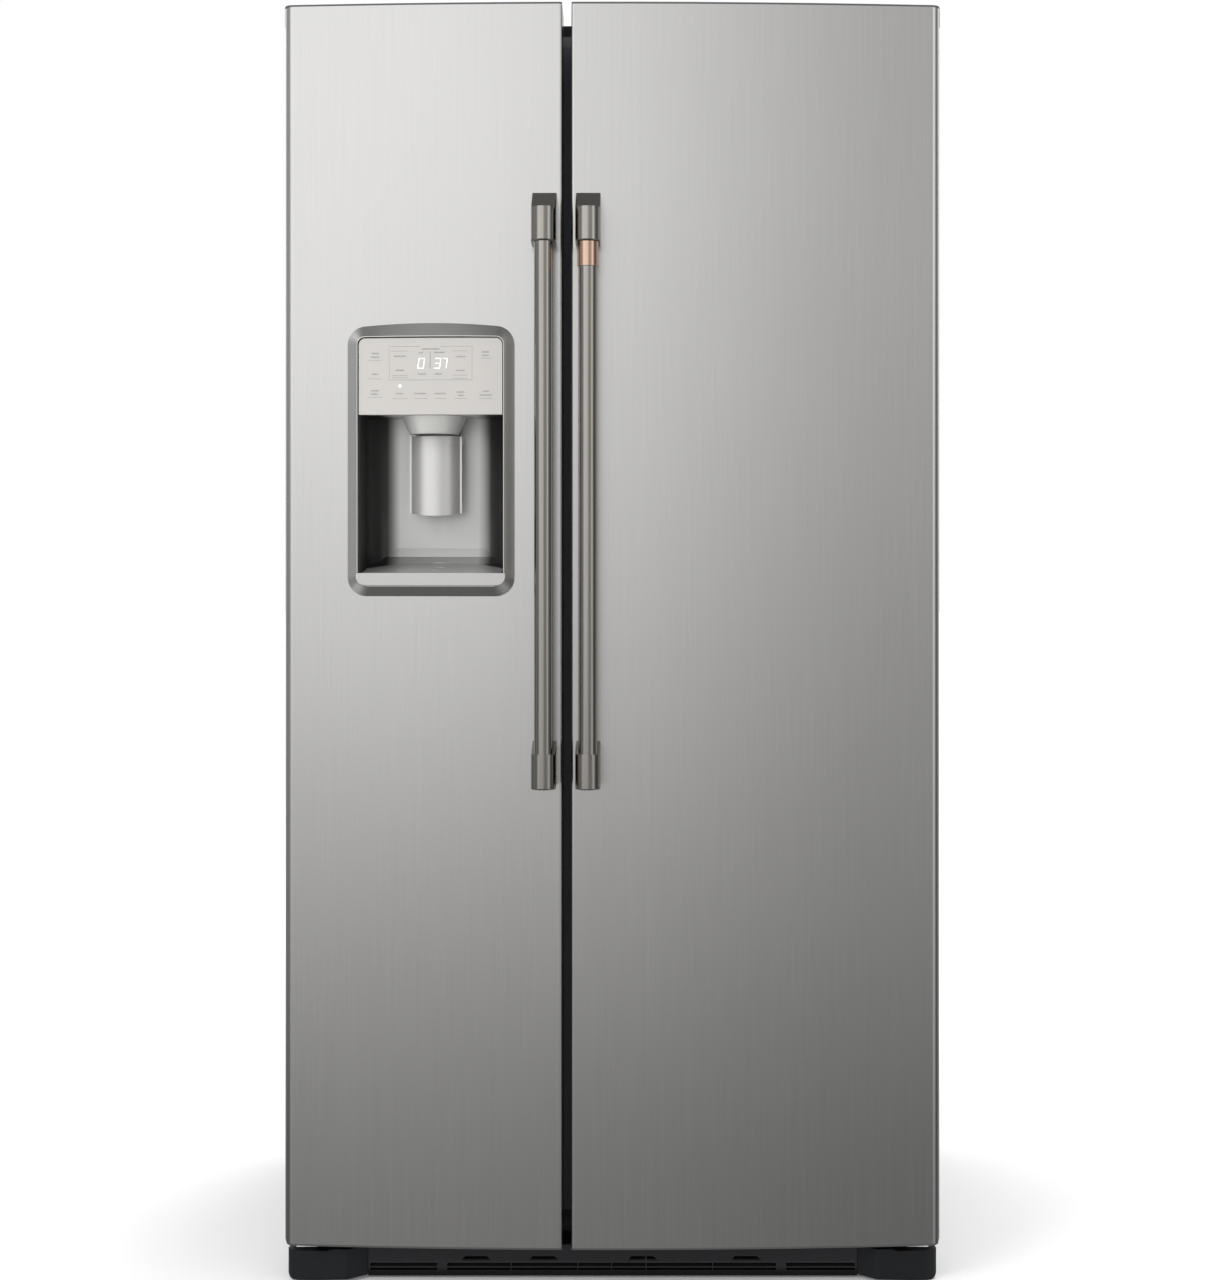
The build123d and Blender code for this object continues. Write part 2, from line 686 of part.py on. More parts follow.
with BuildPart() as freezer_shelves:
    for shelf_z in (346, 640, 900, 1150):
        shelf_x = (-WALL_X + 1, MULLION[0] - 1)
        slab(shelf_x, (-96, -88), (shelf_z, shelf_z + 12))
        slab(shelf_x, (284, 292), (shelf_z, shelf_z + 6))
        slab(shelf_x, (96, 102), (shelf_z, shelf_z + 6))
        slab((shelf_x[0], shelf_x[0] + 6), (-96, 292), (shelf_z, shelf_z + 6))
        slab((shelf_x[1] - 6, shelf_x[1]), (-96, 292), (shelf_z, shelf_z + 6))
        for wire in range(12):
            wire_x = shelf_x[0] + 24 + wire * 24.3
            rod((wire_x, -90, shelf_z + 5), (0, 1, 0), 2.2, 378)
save(freezer_shelves, "freezer_shelves")

with BuildPart() as freezer_basket:
    basket_x = (-400, -97)
    open_box(basket_x, (-56, 142), (132, 322), BIN_WALL)
    for basket_side in ((142 - 3, 142), (-56, -53)):
        with BuildSketch(Plane.XZ.offset(-basket_side[1])) as basket_slots:
            with Locations((-248.5, 220)):
                with GridLocations(22, 0, 12, 1):
                    SlotOverall(120, 10, rotation=90)
        extrude(amount=3, mode=Mode.SUBTRACT)
    slab((basket_x[0], basket_x[1]), (-62, -56), (296, 330))
save(freezer_basket, "freezer_basket")

# --------------------------------------------------------- fresh food contents
SHELF_X = (MULLION[1] + 2, WALL_X - 2)
SHELF_LEVELS = (546.0, 800.0, 1060.0, 1310.0)
RIM = 16.0

with BuildPart() as fridge_shelf_frames:
    for shelf_z in SHELF_LEVELS:
        slab(SHELF_X, (-96, 336), (shelf_z, shelf_z + 14))
        opening_x = (SHELF_X[0] + RIM, SHELF_X[1] - RIM)
        slab(opening_x, (-96 + RIM, 336 - RIM), (shelf_z - 1, shelf_z + 15), Mode.SUBTRACT)
    fillet(fridge_shelf_frames.edges().filter_by(Axis.X).group_by(Axis.Y)[0], 3.0)
save(fridge_shelf_frames, "fridge_shelf_frames")

with BuildPart() as fridge_shelf_glass:
    for shelf_z in SHELF_LEVELS:
        pane_x = (SHELF_X[0] + RIM + GAP, SHELF_X[1] - RIM - GAP)
        slab(pane_x, (-96 + RIM + GAP, 336 - RIM - GAP), (shelf_z + 8, shelf_z + 12))
save(fridge_shelf_glass, "fridge_shelf_glass")


def crisper(y, z, name):
    """Drawer with a taller front panel and a finger lip."""
    with BuildPart() as drawer:
        open_box((SHELF_X[0] + 6, SHELF_X[1] - 6), (y[0] + 6, y[1]), (z[0], z[1] - 10), BIN_WALL)
        slab((SHELF_X[0] + 2, SHELF_X[1] - 2), (y[0], y[0] + 6), (z[0], z[1]))
        slab((60, 310), (y[0] - 10, y[0]), (z[1] - 14, z[1] - 8))
    save(drawer, name)


crisper((-56, 144), (130, 326), "crisper_lower")
crisper((-56, 332), (342, 536), "crisper_upper")

with BuildPart() as light_lenses:
    slab((100, 280), (-60, 20), (1681, ROOM_TOP))
    slab((-320, -180), (-160, -110), (1681, ROOM_TOP))
    lens_edges = light_lenses.edges().group_by(Axis.Z)[0]
    fillet(lens_edges, 4.0)
save(light_lenses, "light_lenses")

with BuildPart() as water_filter:
    rod((FILTER_AXIS[0], 10, FILTER_AXIS[1]), (0, 1, 0), FILTER_R, 205)
    fillet(water_filter.edges().filter_by(GeomType.CIRCLE), 3.0)
    slab((FILTER_AXIS[0] - 5, FILTER_AXIS[0] + 5), (0, 12), (FILTER_AXIS[1] - 22, FILTER_AXIS[1] + 22))
save(water_filter, "water_filter")

# ------------------------------------------------------------------------ doors
SKIN_Z = (DOOR_BOTTOM + CAP, DOOR_TOP - CAP)


def door_skin(door):
    """Folded sheet that wraps the front and both sides."""
    metal = skin_door(door)
    with BuildPart() as skin:
        add(door_block(metal, 0, DOOR_BACK, SKIN_Z))
        inside = (SKIN_Z[0] - 5, SKIN_Z[1] + 5)
        add(door_block(metal, SKIN, DOOR_BACK + 5, inside), mode=Mode.SUBTRACT)
        hinge_notch(side_of(door), 0)
    return skin.part


def door_foam(door):
    """Foamed core between the skin, the end caps and the liner."""
    metal = skin_door(door)
    side = side_of(door)
    with BuildPart() as core:
        core_z = (SKIN_Z[0] + GAP, SKIN_Z[1] - GAP)
        add(door_block(metal, SKIN + GAP, DOOR_BACK - LINER - GAP, core_z))
        hinge_notch(side, CAP + GAP)
        for bore_z in (core_z[0], NOTCH_Z - 45):
            rod((side * HINGE_X, HINGE_Y, bore_z), (0, 0, 1), PIN_R + 3, 45, Mode.SUBTRACT)
    return core.part


def door_caps(door):
    """Moulded end caps: top with side skirt and hinge pocket, and bottom."""
    side = side_of(door)
    outer = door[0]
    with BuildPart() as caps:
        add(door_block(door, 0, DOOR_BACK, (DOOR_BOTTOM, DOOR_TOP)))
        slab((-500, 500), (-400, -200), SKIN_Z, Mode.SUBTRACT)
        hinge_notch(side, 0)
        skirt_x = (outer - side * CAP_PROUD, outer)
        slab(skirt_x, (NOTCH_Y + 1.5, DOOR_BACK), (DOOR_TOP - CAP_SKIRT, NOTCH_Z))
        slab(skirt_x, (bow(outer) + OUTER_EDGE + 1, NOTCH_Y), (DOOR_TOP - CAP_SKIRT, SKIN_Z[1]))
        floor_x = mirrored((NOTCH_X - CAP, HALF_WIDTH - CAP_PROUD - SKIN - 1.5), side)
        slab(floor_x, (NOTCH_Y - CAP, DOOR_BACK - GAP), (NOTCH_Z - CAP, NOTCH_Z))
        wall_x = mirrored((NOTCH_X - CAP, NOTCH_X), side)
        slab(wall_x, (NOTCH_Y - CAP, DOOR_BACK - LINER - GAP), (NOTCH_Z, SKIN_Z[1]))
        slab(floor_x, (NOTCH_Y - CAP, NOTCH_Y), (NOTCH_Z, SKIN_Z[1]))
        for bore_z in (DOOR_BOTTOM - 1, NOTCH_Z - CAP - 1):
            rod((side * HINGE_X, HINGE_Y, bore_z), (0, 0, 1), PIN_R + PIN_FIT, 10, Mode.SUBTRACT)
    return caps.part


def door_liner(door, dykes):
    """Moulded inner panel with a rim of dykes that holds the bins."""
    metal = skin_door(door)
    side = side_of(door)
    plate_z = (SKIN_Z[0] + GAP, SKIN_Z[1] - GAP)
    with BuildPart() as panel:
        plate_x = sorted((metal[0] - side * (SKIN + GAP), metal[1] + side * (SKIN + GAP)))
        slab(plate_x, (DOOR_BACK - LINER, DOOR_BACK), plate_z)
        slab(dykes, (DOOR_BACK, DYKE_BACK), DYKE_Z)
        well_x = (dykes[0] + DYKE, dykes[1] - DYKE)
        slab(well_x, (DOOR_BACK, DYKE_BACK + 1), (DYKE_Z[0] + DYKE, DYKE_Z[1] - DYKE), Mode.SUBTRACT)
        rim = panel.edges().filter_by(Axis.Z).group_by(Axis.Y)[-1]
        fillet(rim, 6.0)
        notch_x = mirrored((NOTCH_X - CAP - GAP, HALF_WIDTH), side)
        slab(notch_x, (DOOR_BACK - 5, DOOR_BACK + 5), (NOTCH_Z - CAP - GAP, DOOR_TOP), Mode.SUBTRACT)
        corner_x = mirrored((HALF_WIDTH - 12, HALF_WIDTH), side)
        slab(corner_x, (DOOR_BACK - 5, DOOR_BACK + 5), (DOOR_BOTTOM, DOOR_BOTTOM + 12), Mode.SUBTRACT)
    return panel.part


def gasket(x, z):
    """Hollow magnetic seal, drawn as a closed ring."""
    width = 16.0
    with BuildPart() as seal:
        slab(x, (DOOR_BACK, CASE_FRONT - 0.3), z)
        inner_x = (x[0] + width, x[1] - width)
        slab(inner_x, (DOOR_BACK - 1, CASE_FRONT + 1), (z[0] + width, z[1] - width), Mode.SUBTRACT)
        fillet(seal.edges().group_by(Axis.Y)[-1], 3.0)
    return seal.part


def door_bin(x, z):
    """Shelf bin that hangs between the dykes."""
    open_box(x, (DOOR_BACK + 0.3, BIN_BACK), z, BIN_WALL)


# -------------------------------------------------------------------- handles
def handle_bar(x):
    """Round bar with its ends seated in the end fittings."""
    low = FERRULES[0][1] - SOCKET + GAP
    high = FERRULES[1][0] + SOCKET - GAP
    with BuildPart() as bar:
        rod((x, HANDLE_Y, low), (0, 0, 1), BAR_R, high - low)
    return bar.part


def ferrule(x, low, high):
    """Short round sleeve with a softened lower rim."""
    with BuildPart() as sleeve:
        rod((x, HANDLE_Y, low), (0, 0, 1), FERRULE_R, high - low)
        fillet(sleeve.edges().filter_by(GeomType.CIRCLE).sort_by(Axis.Z)[0], 2.0)
    return sleeve.part


def handle_mounts(x):
    """Lower and upper end fittings, each a round ferrule on a block that meets the door."""
    face = bow(x) - 0.3
    low_z, high_z = FERRULES
    profiles = (
        ((low_z[0] + 3, low_z[1]), (low_z[0], low_z[1] + 13)),
        ((high_z[0], high_z[1]), (high_z[0], high_z[1] + 27)),
    )
    with BuildPart() as mounts:
        for front_z, back_z in profiles:
            with BuildSketch(Plane.YZ.offset(x - FERRULE_R)) as block:
                with BuildLine():
                    Polyline(
                        (HANDLE_Y, front_z[0]),
                        (HANDLE_Y, front_z[1]),
                        (face, back_z[1]),
                        (face, back_z[0]),
                        close=True,
                    )
                make_face()
            extrude(amount=2 * FERRULE_R)
        slope_edges = mounts.edges().filter_by(Axis.Z, reverse=True).filter_by(Axis.X, reverse=True)
        fillet(slope_edges.filter_by(Axis.Y, reverse=True), 1.5)
        for low, high in FERRULES:
            add(ferrule(x, low, high))
        rod((x, HANDLE_Y, low_z[1] - SOCKET), (0, 0, 1), BAR_R + GAP, SOCKET + 20, Mode.SUBTRACT)
        rod((x, HANDLE_Y, high_z[0] - 1), (0, 0, 1), BAR_R + GAP, SOCKET + 1, Mode.SUBTRACT)
    return mounts.part


# ----------------------------------------------------------------- freezer door
with BuildPart() as freezer_door_skin:
    add(door_skin(FREEZER))
    half, low, high = BEZEL_IN
    extrude(bezel_outline(20, half + 6, low - 7, high + 5, 4, (20, 18)), amount=-60, mode=Mode.SUBTRACT)
save(freezer_door_skin, "freezer_door_skin")

with BuildPart() as freezer_door_foam:
    add(door_foam(FREEZER))
    slab((-374, -134), (DOOR_BACK - 5, -173.2), (902, 1398))
    grow = RECESS_WALL + 3 * GAP
    pocket_low = RECESS_BOTTOM - GAP
    extrude(recess_plan(pocket_low, grow, -30), amount=PANEL_BOTTOM + grow - pocket_low, mode=Mode.SUBTRACT)
    half, low, high = BEZEL_IN
    behind_panel = bezel_outline(20, half + 2.4, PANEL_BOTTOM - 2, high + 2.4, 0.5, (2, 10))
    extrude(behind_panel, amount=-(20 + PANEL_DEPTH + GAP), mode=Mode.SUBTRACT)
    extrude(bezel_outline(20, half + 6, low - 7, high + 5, 4, (20, 18)), amount=-22, mode=Mode.SUBTRACT)
    chute_sweep(CHUTE_R + 0.4, Mode.SUBTRACT)
save(freezer_door_foam, "freezer_door_foam")

with BuildPart() as freezer_door_liner:
    add(door_liner(FREEZER, FREEZER_DYKES))
    slab((-376, -132), (DOOR_BACK - 1, -171), (900, 1400))
    slab((-374 - GAP, -134 + GAP), (DOOR_BACK - 5, -173), (902 - GAP, 1398 + GAP), Mode.SUBTRACT)
    chute_sweep(CHUTE_R + 0.4, Mode.SUBTRACT)
save(freezer_door_liner, "freezer_door_liner")

with BuildPart() as freezer_door_gasket:
    add(gasket((-430, -71), (80, 1718)))
save(freezer_door_gasket, "freezer_door_gasket")

with BuildPart() as freezer_door_caps:
    add(door_caps(FREEZER))
save(freezer_door_caps, "freezer_door_caps")

with BuildPart() as freezer_handle_bar:
    add(handle_bar(HANDLE_X[0]))
save(freezer_handle_bar, "freezer_handle_bar")

with BuildPart() as freezer_handle_mounts:
    add(handle_mounts(HANDLE_X[0]))
save(freezer_handle_mounts, "freezer_handle_mounts")

with BuildPart() as freezer_door_bins:
    well = (FREEZER_DYKES[0] + DYKE + 0.5, FREEZER_DYKES[1] - DYKE - 0.5)
    for bin_z in ((590, 690), (745, 845), (1430, 1520), (1545, 1632)):
        door_bin(well, bin_z)
save(freezer_door_bins, "freezer_door_bins")

# ------------------------------------------------------------- dispenser pieces
def sill_outline(proud, grow):
    """Front view of the drip tray's bar, which laps over the bezel at both ends."""
    radii = (SILL_CORNER + grow, 0.8)
    return bezel_outline(proud, SILL_HALF + grow, BEZEL_IN[1] - grow, SILL_TOP + grow, 0.3, radii)


with BuildPart() as dispenser_bezel:
    half, low, high = BEZEL_OUT
    outer_base = bezel_outline(-1.6, half, low, high, BEZEL_ARCH, (26, 26))
    outer_foot = bezel_outline(BEZEL_LOW, half, low, high, BEZEL_ARCH, (26, 26))
    half, low, high = BEZEL_IN
    rim_top = bezel_outline(BEZEL_HIGH, half + 1.2, low - 1.2, high + 1.2, 1.0, (17, 11))
    loft([outer_foot, rim_top])
    extrude(outer_base, amount=BEZEL_LOW + 1.6)
    add(door_block(skin_door(FREEZER), 0, DOOR_BACK, SKIN_Z), mode=Mode.SUBTRACT)
    opening = bezel_outline(-40, half + 0.4, low - 0.4, high + 0.4, 0.8, (16.4, 10.4))
    extrude(opening, amount=60, mode=Mode.SUBTRACT)
    extrude(sill_outline(-SILL_BACK - GAP, GAP), amount=20, mode=Mode.SUBTRACT)
save(dispenser_bezel, "dispenser_bezel")

with BuildPart() as control_panel:
    face = bezel_outline(-PANEL_DEPTH, PANEL_HALF, PANEL_BOTTOM, PANEL_TOP, 0.6, (0.6, 9))
    extrude(face, amount=PANEL_DEPTH + PANEL_PROUD)
    front_rim = control_panel.faces().sort_by(Axis.Y)[0].edges()
    fillet(front_rim, 0.5)
save(control_panel, "control_panel")

with BuildPart() as recess_floor:
    with BuildSketch(disp_side(-RECESS_HALF)) as cove:
        with BuildLine():
            Polyline(
                (4, RECESS_BOTTOM + 2),
                (RECESS_DEPTH, RECESS_BOTTOM + 2),
                (RECESS_DEPTH, TRAY_REAR + 20),
                (RECESS_DEPTH - 4, TRAY_REAR + 8),
                (RECESS_DEPTH - 12, TRAY_REAR - 1),
                (4, TRAY_FRONT - 0.5),
                close=True,
            )
        make_face()
    extrude(amount=2 * RECESS_HALF)
    extrude(recess_plan(RECESS_BOTTOM, 0, 0), amount=80, mode=Mode.INTERSECT)

with BuildPart() as dispenser_recess:
    shell_top = PANEL_BOTTOM + RECESS_WALL - GAP
    extrude(recess_plan(RECESS_BOTTOM, RECESS_WALL, RECESS_FRONT), amount=shell_top - RECESS_BOTTOM)
    inside_low = RECESS_BOTTOM + 3
    extrude(recess_plan(inside_low, 0, -10), amount=PANEL_BOTTOM - inside_low, mode=Mode.SUBTRACT)
    add(recess_floor.part)
    extrude(tray_plan(TRAY_LOW - 0.5, TRAY_FIT), amount=60, mode=Mode.SUBTRACT)
    with BuildSketch(disp_plan(PANEL_BOTTOM - 0.3)) as panel_step:
        Rectangle(2 * BEZEL_OUT[0], 2 * (PANEL_DEPTH + GAP))
    extrude(amount=10, mode=Mode.SUBTRACT)
    for ear in (-1, 1):
        ear_start = PADDLE_U + (EAR_OUT - PADDLE_ARM if ear > 0 else -EAR_OUT)
        with BuildSketch(disp_side(ear_start)) as ear_profile:
            with BuildLine():
                Polyline(
                    (PADDLE_PIVOT[0] - 6, PADDLE_PIVOT[1] - 7),
                    (PADDLE_PIVOT[0] - 6, PADDLE_PIVOT[1] + 7),
                    (RECESS_DEPTH + 1, PADDLE_PIVOT[1] + 12),
                    (RECESS_DEPTH + 1, PADDLE_PIVOT[1] - 12),
                    close=True,
                )
            make_face()
        extrude(amount=PADDLE_ARM)
    pin_start = disp_point(PADDLE_U - EAR_OUT - 1, PADDLE_PIVOT[0], PADDLE_PIVOT[1])
    rod(pin_start, ACROSS, PADDLE_PIN_R + PIN_FIT, 2 * EAR_OUT + 2, Mode.SUBTRACT)
    chute_foot = disp_point(CHUTE_U, CHUTE_DEPTH, PANEL_BOTTOM - 2)
    rod(chute_foot, (0, 0, 1), CHUTE_R + 0.4, 10, Mode.SUBTRACT)
save(dispenser_recess, "dispenser_recess")

with BuildPart() as ice_chute:
    chute_sweep(CHUTE_R)
    with BuildSketch(disp_side(CHUTE_U)) as funnel:
        with BuildLine():
            Polyline(
                (CHUTE_DEPTH, PANEL_BOTTOM - 25),
                (CHUTE_DEPTH + 34, PANEL_BOTTOM - 25),
                (CHUTE_DEPTH + 35.5, PANEL_BOTTOM - 22),
                (CHUTE_DEPTH + 45, PANEL_BOTTOM - 0.4),
                (CHUTE_DEPTH, PANEL_BOTTOM - 0.4),
                close=True,
            )
        make_face()
    axis_foot = disp_point(CHUTE_U, CHUTE_DEPTH, 0)
    revolve(axis=Axis(axis_foot, (0, 0, 1)))
    chute_sweep(CHUTE_R - 3, Mode.SUBTRACT)
    mouth = disp_point(CHUTE_U, CHUTE_DEPTH, PANEL_BOTTOM - 30)
    rod(mouth, (0, 0, 1), CHUTE_R - 3, 32, Mode.SUBTRACT)
    slab((-400, -100), (-171.2, 0), (1000, 1500), Mode.SUBTRACT)
save(ice_chute, "ice_chute")


def sill_bar():
    """Front bar of the drip tray with softened front edges."""
    with BuildPart() as bar:
        extrude(sill_outline(-SILL_BACK, 0), amount=SILL_BACK + SILL_PROUD)
        fillet(bar.faces().sort_by(Axis.Y)[0].edges(), 0.5)
    return bar.part


with BuildPart() as drip_tray:
    with BuildSketch(disp_side(-TRAY_HALF)) as tray_slope:
        with BuildLine():
            Polyline((0, TRAY_LOW), (90, TRAY_LOW), (90, TRAY_REAR), (0, TRAY_FRONT), close=True)
        make_face()
    extrude(amount=2 * TRAY_HALF)
    extrude(tray_plan(TRAY_LOW - 4, 0), amount=60, mode=Mode.INTERSECT)
    add(sill_bar())
    with BuildSketch(disp_plan(TRAY_LOW + 6)) as drains:
        with Locations((5, 51)):
            SlotOverall(16, 6)
        with Locations((2, 27)):
            SlotOverall(11, 5)
    extrude(amount=40, mode=Mode.SUBTRACT)
save(drip_tray, "drip_tray")

with BuildPart() as dispenser_paddle:
    curve = 41.5
    half_paddle = 36.3
    crest = 40.0
    paddle_low = 1061.0
    paddle_high = 1172.0
    edge_depth = crest + curve - sqrt(curve**2 - half_paddle**2)
    with BuildSketch(disp_plan(paddle_low)) as shell:
        with BuildLine():
            outer_arc = ThreePointArc(
                (PADDLE_U - half_paddle, edge_depth),
                (PADDLE_U, crest),
                (PADDLE_U + half_paddle, edge_depth),
            )
            inner_arc = ThreePointArc(
                (PADDLE_U + half_paddle, edge_depth + 3),
                (PADDLE_U, crest + 2.5),
                (PADDLE_U - half_paddle, edge_depth + 3),
            )
            Line(outer_arc @ 1, inner_arc @ 0)
            Line(inner_arc @ 1, outer_arc @ 0)
        make_face()
        for rim_u in (-half_paddle + 1.2, half_paddle - 1.2):
            with Locations((PADDLE_U + rim_u, edge_depth)):
                Rectangle(3.0, 7)
    extrude(amount=paddle_high - paddle_low)
    with BuildSketch(disp_face(0)) as lower_edge:
        with BuildLine():
            edge_half = half_paddle + 4
            edge_arc = ThreePointArc(
                (PADDLE_U - edge_half, paddle_low + 4.5),
                (PADDLE_U, paddle_low),
                (PADDLE_U + edge_half, paddle_low + 4.5),
            )
            Polyline(
                edge_arc @ 1,
                (PADDLE_U + edge_half, paddle_low - 5),
                (PADDLE_U - edge_half, paddle_low - 5),
                edge_arc @ 0,
            )
        make_face()
    extrude(amount=-RECESS_DEPTH, mode=Mode.SUBTRACT)
    with BuildSketch(disp_plan(1158)) as brow:
        with BuildLine():
            brow_arc = ThreePointArc(
                (PADDLE_U - 31.5, crest + 15.2),
                (PADDLE_U, crest + 0.9),
                (PADDLE_U + 31.5, crest + 15.2),
            )
            Polyline(
                brow_arc @ 1,
                (PADDLE_U + 31.5, crest - 5),
                (PADDLE_U - 31.5, crest - 5),
                brow_arc @ 0,
            )
        make_face()
    extrude(amount=20, mode=Mode.SUBTRACT)
    for arm in (-1, 1):
        arm_start = PADDLE_U + (ARM_OUT - PADDLE_ARM if arm > 0 else -ARM_OUT)
        with BuildSketch(disp_side(arm_start)) as arm_profile:
            with BuildLine():
                Polyline(
                    (edge_depth, PADDLE_PIVOT[1] - 6),
                    (edge_depth, PADDLE_PIVOT[1] + 5.5),
                    (PADDLE_PIVOT[0] + 5, PADDLE_PIVOT[1] + 5.5),
                    (PADDLE_PIVOT[0] + 5, PADDLE_PIVOT[1] - 6),
                    close=True,
                )
            make_face()
        extrude(amount=PADDLE_ARM)
    rod_start = disp_point(PADDLE_U - ARM_OUT, PADDLE_PIVOT[0], PADDLE_PIVOT[1])
    rod(rod_start, ACROSS, PADDLE_PIN_R, 2 * ARM_OUT)
save(dispenser_paddle, "dispenser_paddle")

# ---------------------------------------------------------------- fresh food door
with BuildPart() as fridge_door_skin:
    add(door_skin(FRIDGE))
save(fridge_door_skin, "fridge_door_skin")

with BuildPart() as fridge_door_foam:
    add(door_foam(FRIDGE))
save(fridge_door_foam, "fridge_door_foam")

with BuildPart() as fridge_door_liner:
    add(door_liner(FRIDGE, FRIDGE_DYKES))
save(fridge_door_liner, "fridge_door_liner")

with BuildPart() as fridge_door_gasket:
    add(gasket((-54, 430), (80, 1718)))
save(fridge_door_gasket, "fridge_door_gasket")

with BuildPart() as fridge_door_caps:
    add(door_caps(FRIDGE))
save(fridge_door_caps, "fridge_door_caps")

with BuildPart() as fridge_handle_bar:
    add(handle_bar(HANDLE_X[1]))
save(fridge_handle_bar, "fridge_handle_bar")

with BuildPart() as fridge_handle_mounts:
    add(handle_mounts(HANDLE_X[1]))
save(fridge_handle_mounts, "fridge_handle_mounts")

with BuildPart() as handle_accent_ring:
    rod((HANDLE_X[1], HANDLE_Y, 1396), (0, 0, 1), 14.2, 33.7)
    fillet(handle_accent_ring.edges().filter_by(GeomType.CIRCLE), 0.6)
    rod((HANDLE_X[1], HANDLE_Y, 1390), (0, 0, 1), BAR_R + 0.1, 50, Mode.SUBTRACT)
save(handle_accent_ring, "handle_accent_ring")

LID_PIVOT = (-124.0, 1634.0)
LID_X = (FRIDGE_DYKES[0] + DYKE + 4.0, FRIDGE_DYKES[1] - DYKE - 4.0)

with BuildPart() as fridge_door_bins:
    well = (FRIDGE_DYKES[0] + DYKE + 0.5, FRIDGE_DYKES[1] - DYKE - 0.5)
    for bin_z in ((590, 690), (775, 875), (960, 1060), (1145, 1245), (1330, 1430)):
        door_bin(well, bin_z)
    slab(well, (DOOR_BACK + 0.3, -127), (1530, 1637))
    slab((well[0] + 3, well[1] - 3), (DOOR_BACK + 3.3, -120), (1533, 1634), Mode.SUBTRACT)
    for ear_x in ((well[0], well[0] + 3), (well[1] - 3, well[1])):
        slab(ear_x, (-130, LID_PIVOT[0] + 5), (LID_PIVOT[1] - 6, 1637))
    rod((well[0] - 1, LID_PIVOT[0], LID_PIVOT[1]), (1, 0, 0), 1.8, well[1] - well[0] + 2, Mode.SUBTRACT)
save(fridge_door_bins, "fridge_door_bins")

with BuildPart() as dairy_lid:
    slab(LID_X, (LID_PIVOT[0] - 1.5, LID_PIVOT[0] + 1.5), (1536, LID_PIVOT[1]))
    rod((LID_X[0], LID_PIVOT[0], LID_PIVOT[1]), (1, 0, 0), 2.0, LID_X[1] - LID_X[0])
    rod((LID_X[0] - 3, LID_PIVOT[0], LID_PIVOT[1]), (1, 0, 0), 1.5, LID_X[1] - LID_X[0] + 6)
    slab((170, 215), (LID_PIVOT[0] + 1.5, LID_PIVOT[0] + 8), (1538, 1542))
save(dairy_lid, "dairy_lid")
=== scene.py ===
import json
import math

import bmesh
import bpy
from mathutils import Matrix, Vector


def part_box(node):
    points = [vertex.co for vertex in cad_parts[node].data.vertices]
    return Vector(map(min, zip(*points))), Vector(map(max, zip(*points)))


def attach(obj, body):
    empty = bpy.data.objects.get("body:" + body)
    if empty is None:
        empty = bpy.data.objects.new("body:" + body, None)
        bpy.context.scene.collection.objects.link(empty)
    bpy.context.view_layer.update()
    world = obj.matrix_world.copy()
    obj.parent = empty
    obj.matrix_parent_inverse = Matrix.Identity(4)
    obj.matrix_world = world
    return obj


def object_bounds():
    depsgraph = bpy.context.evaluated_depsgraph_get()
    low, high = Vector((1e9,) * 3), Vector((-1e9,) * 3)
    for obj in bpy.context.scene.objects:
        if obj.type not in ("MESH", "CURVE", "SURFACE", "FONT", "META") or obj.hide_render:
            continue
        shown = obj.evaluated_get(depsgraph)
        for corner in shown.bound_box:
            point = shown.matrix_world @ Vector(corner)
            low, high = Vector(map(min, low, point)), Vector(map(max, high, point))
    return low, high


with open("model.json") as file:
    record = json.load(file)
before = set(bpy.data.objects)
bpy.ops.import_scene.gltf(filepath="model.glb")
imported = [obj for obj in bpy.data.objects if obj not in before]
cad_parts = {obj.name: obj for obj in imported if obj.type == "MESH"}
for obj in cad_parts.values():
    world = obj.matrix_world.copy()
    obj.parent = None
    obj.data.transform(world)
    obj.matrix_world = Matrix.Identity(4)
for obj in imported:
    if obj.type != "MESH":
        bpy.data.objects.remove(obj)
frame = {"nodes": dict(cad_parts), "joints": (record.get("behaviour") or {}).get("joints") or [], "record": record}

CAD_LOW, CAD_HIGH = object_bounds()
MM = 0.001


# ------------------------------------------------------------------ node helpers
def new_material(name):
    """Material with a Principled shader; returns the material, its node tree and the shader."""
    material = bpy.data.materials.new(name)
    material.use_nodes = True
    tree = material.node_tree
    return material, tree, tree.nodes["Principled BSDF"]


def node(tree, kind, **values):
    """A shader node with its named inputs or properties set."""
    made = tree.nodes.new(kind)
    for key, value in values.items():
        if key in made.inputs:
            made.inputs[key].default_value = value
        else:
            setattr(made, key, value)
    return made


def place(tree, scale):
    """Object coordinates, multiplied by a scale for each of the frame's axes."""
    where = node(tree, "ShaderNodeTexCoord")
    mapping = node(tree, "ShaderNodeMapping")
    mapping.inputs["Scale"].default_value = scale
    tree.links.new(where.outputs["Object"], mapping.inputs["Vector"])
    return mapping.outputs["Vector"]


def noise(tree, scale, detail=3.0, stretch=(1, 1, 1)):
    """Noise value; stretch sets how fine it is along each axis."""
    made = node(tree, "ShaderNodeTexNoise", Scale=scale, Detail=detail, Roughness=0.6)
    tree.links.new(place(tree, stretch), made.inputs["Vector"])
    return made.outputs["Fac"]


def ramp(tree, value, low, high, start=0.3, end=0.7):
    """A number that runs from low to high as the input rises."""
    made = node(tree, "ShaderNodeMapRange")
    made.inputs["From Min"].default_value = start
    made.inputs["From Max"].default_value = end
    made.inputs["To Min"].default_value = low
    made.inputs["To Max"].default_value = high
    tree.links.new(value, made.inputs["Value"])
    return made.outputs["Result"]


def mix_input(mix, name):
    """The colour input of a mix node with that name."""
    return [s for s in mix.inputs if s.name == name and s.type == "RGBA"][0]


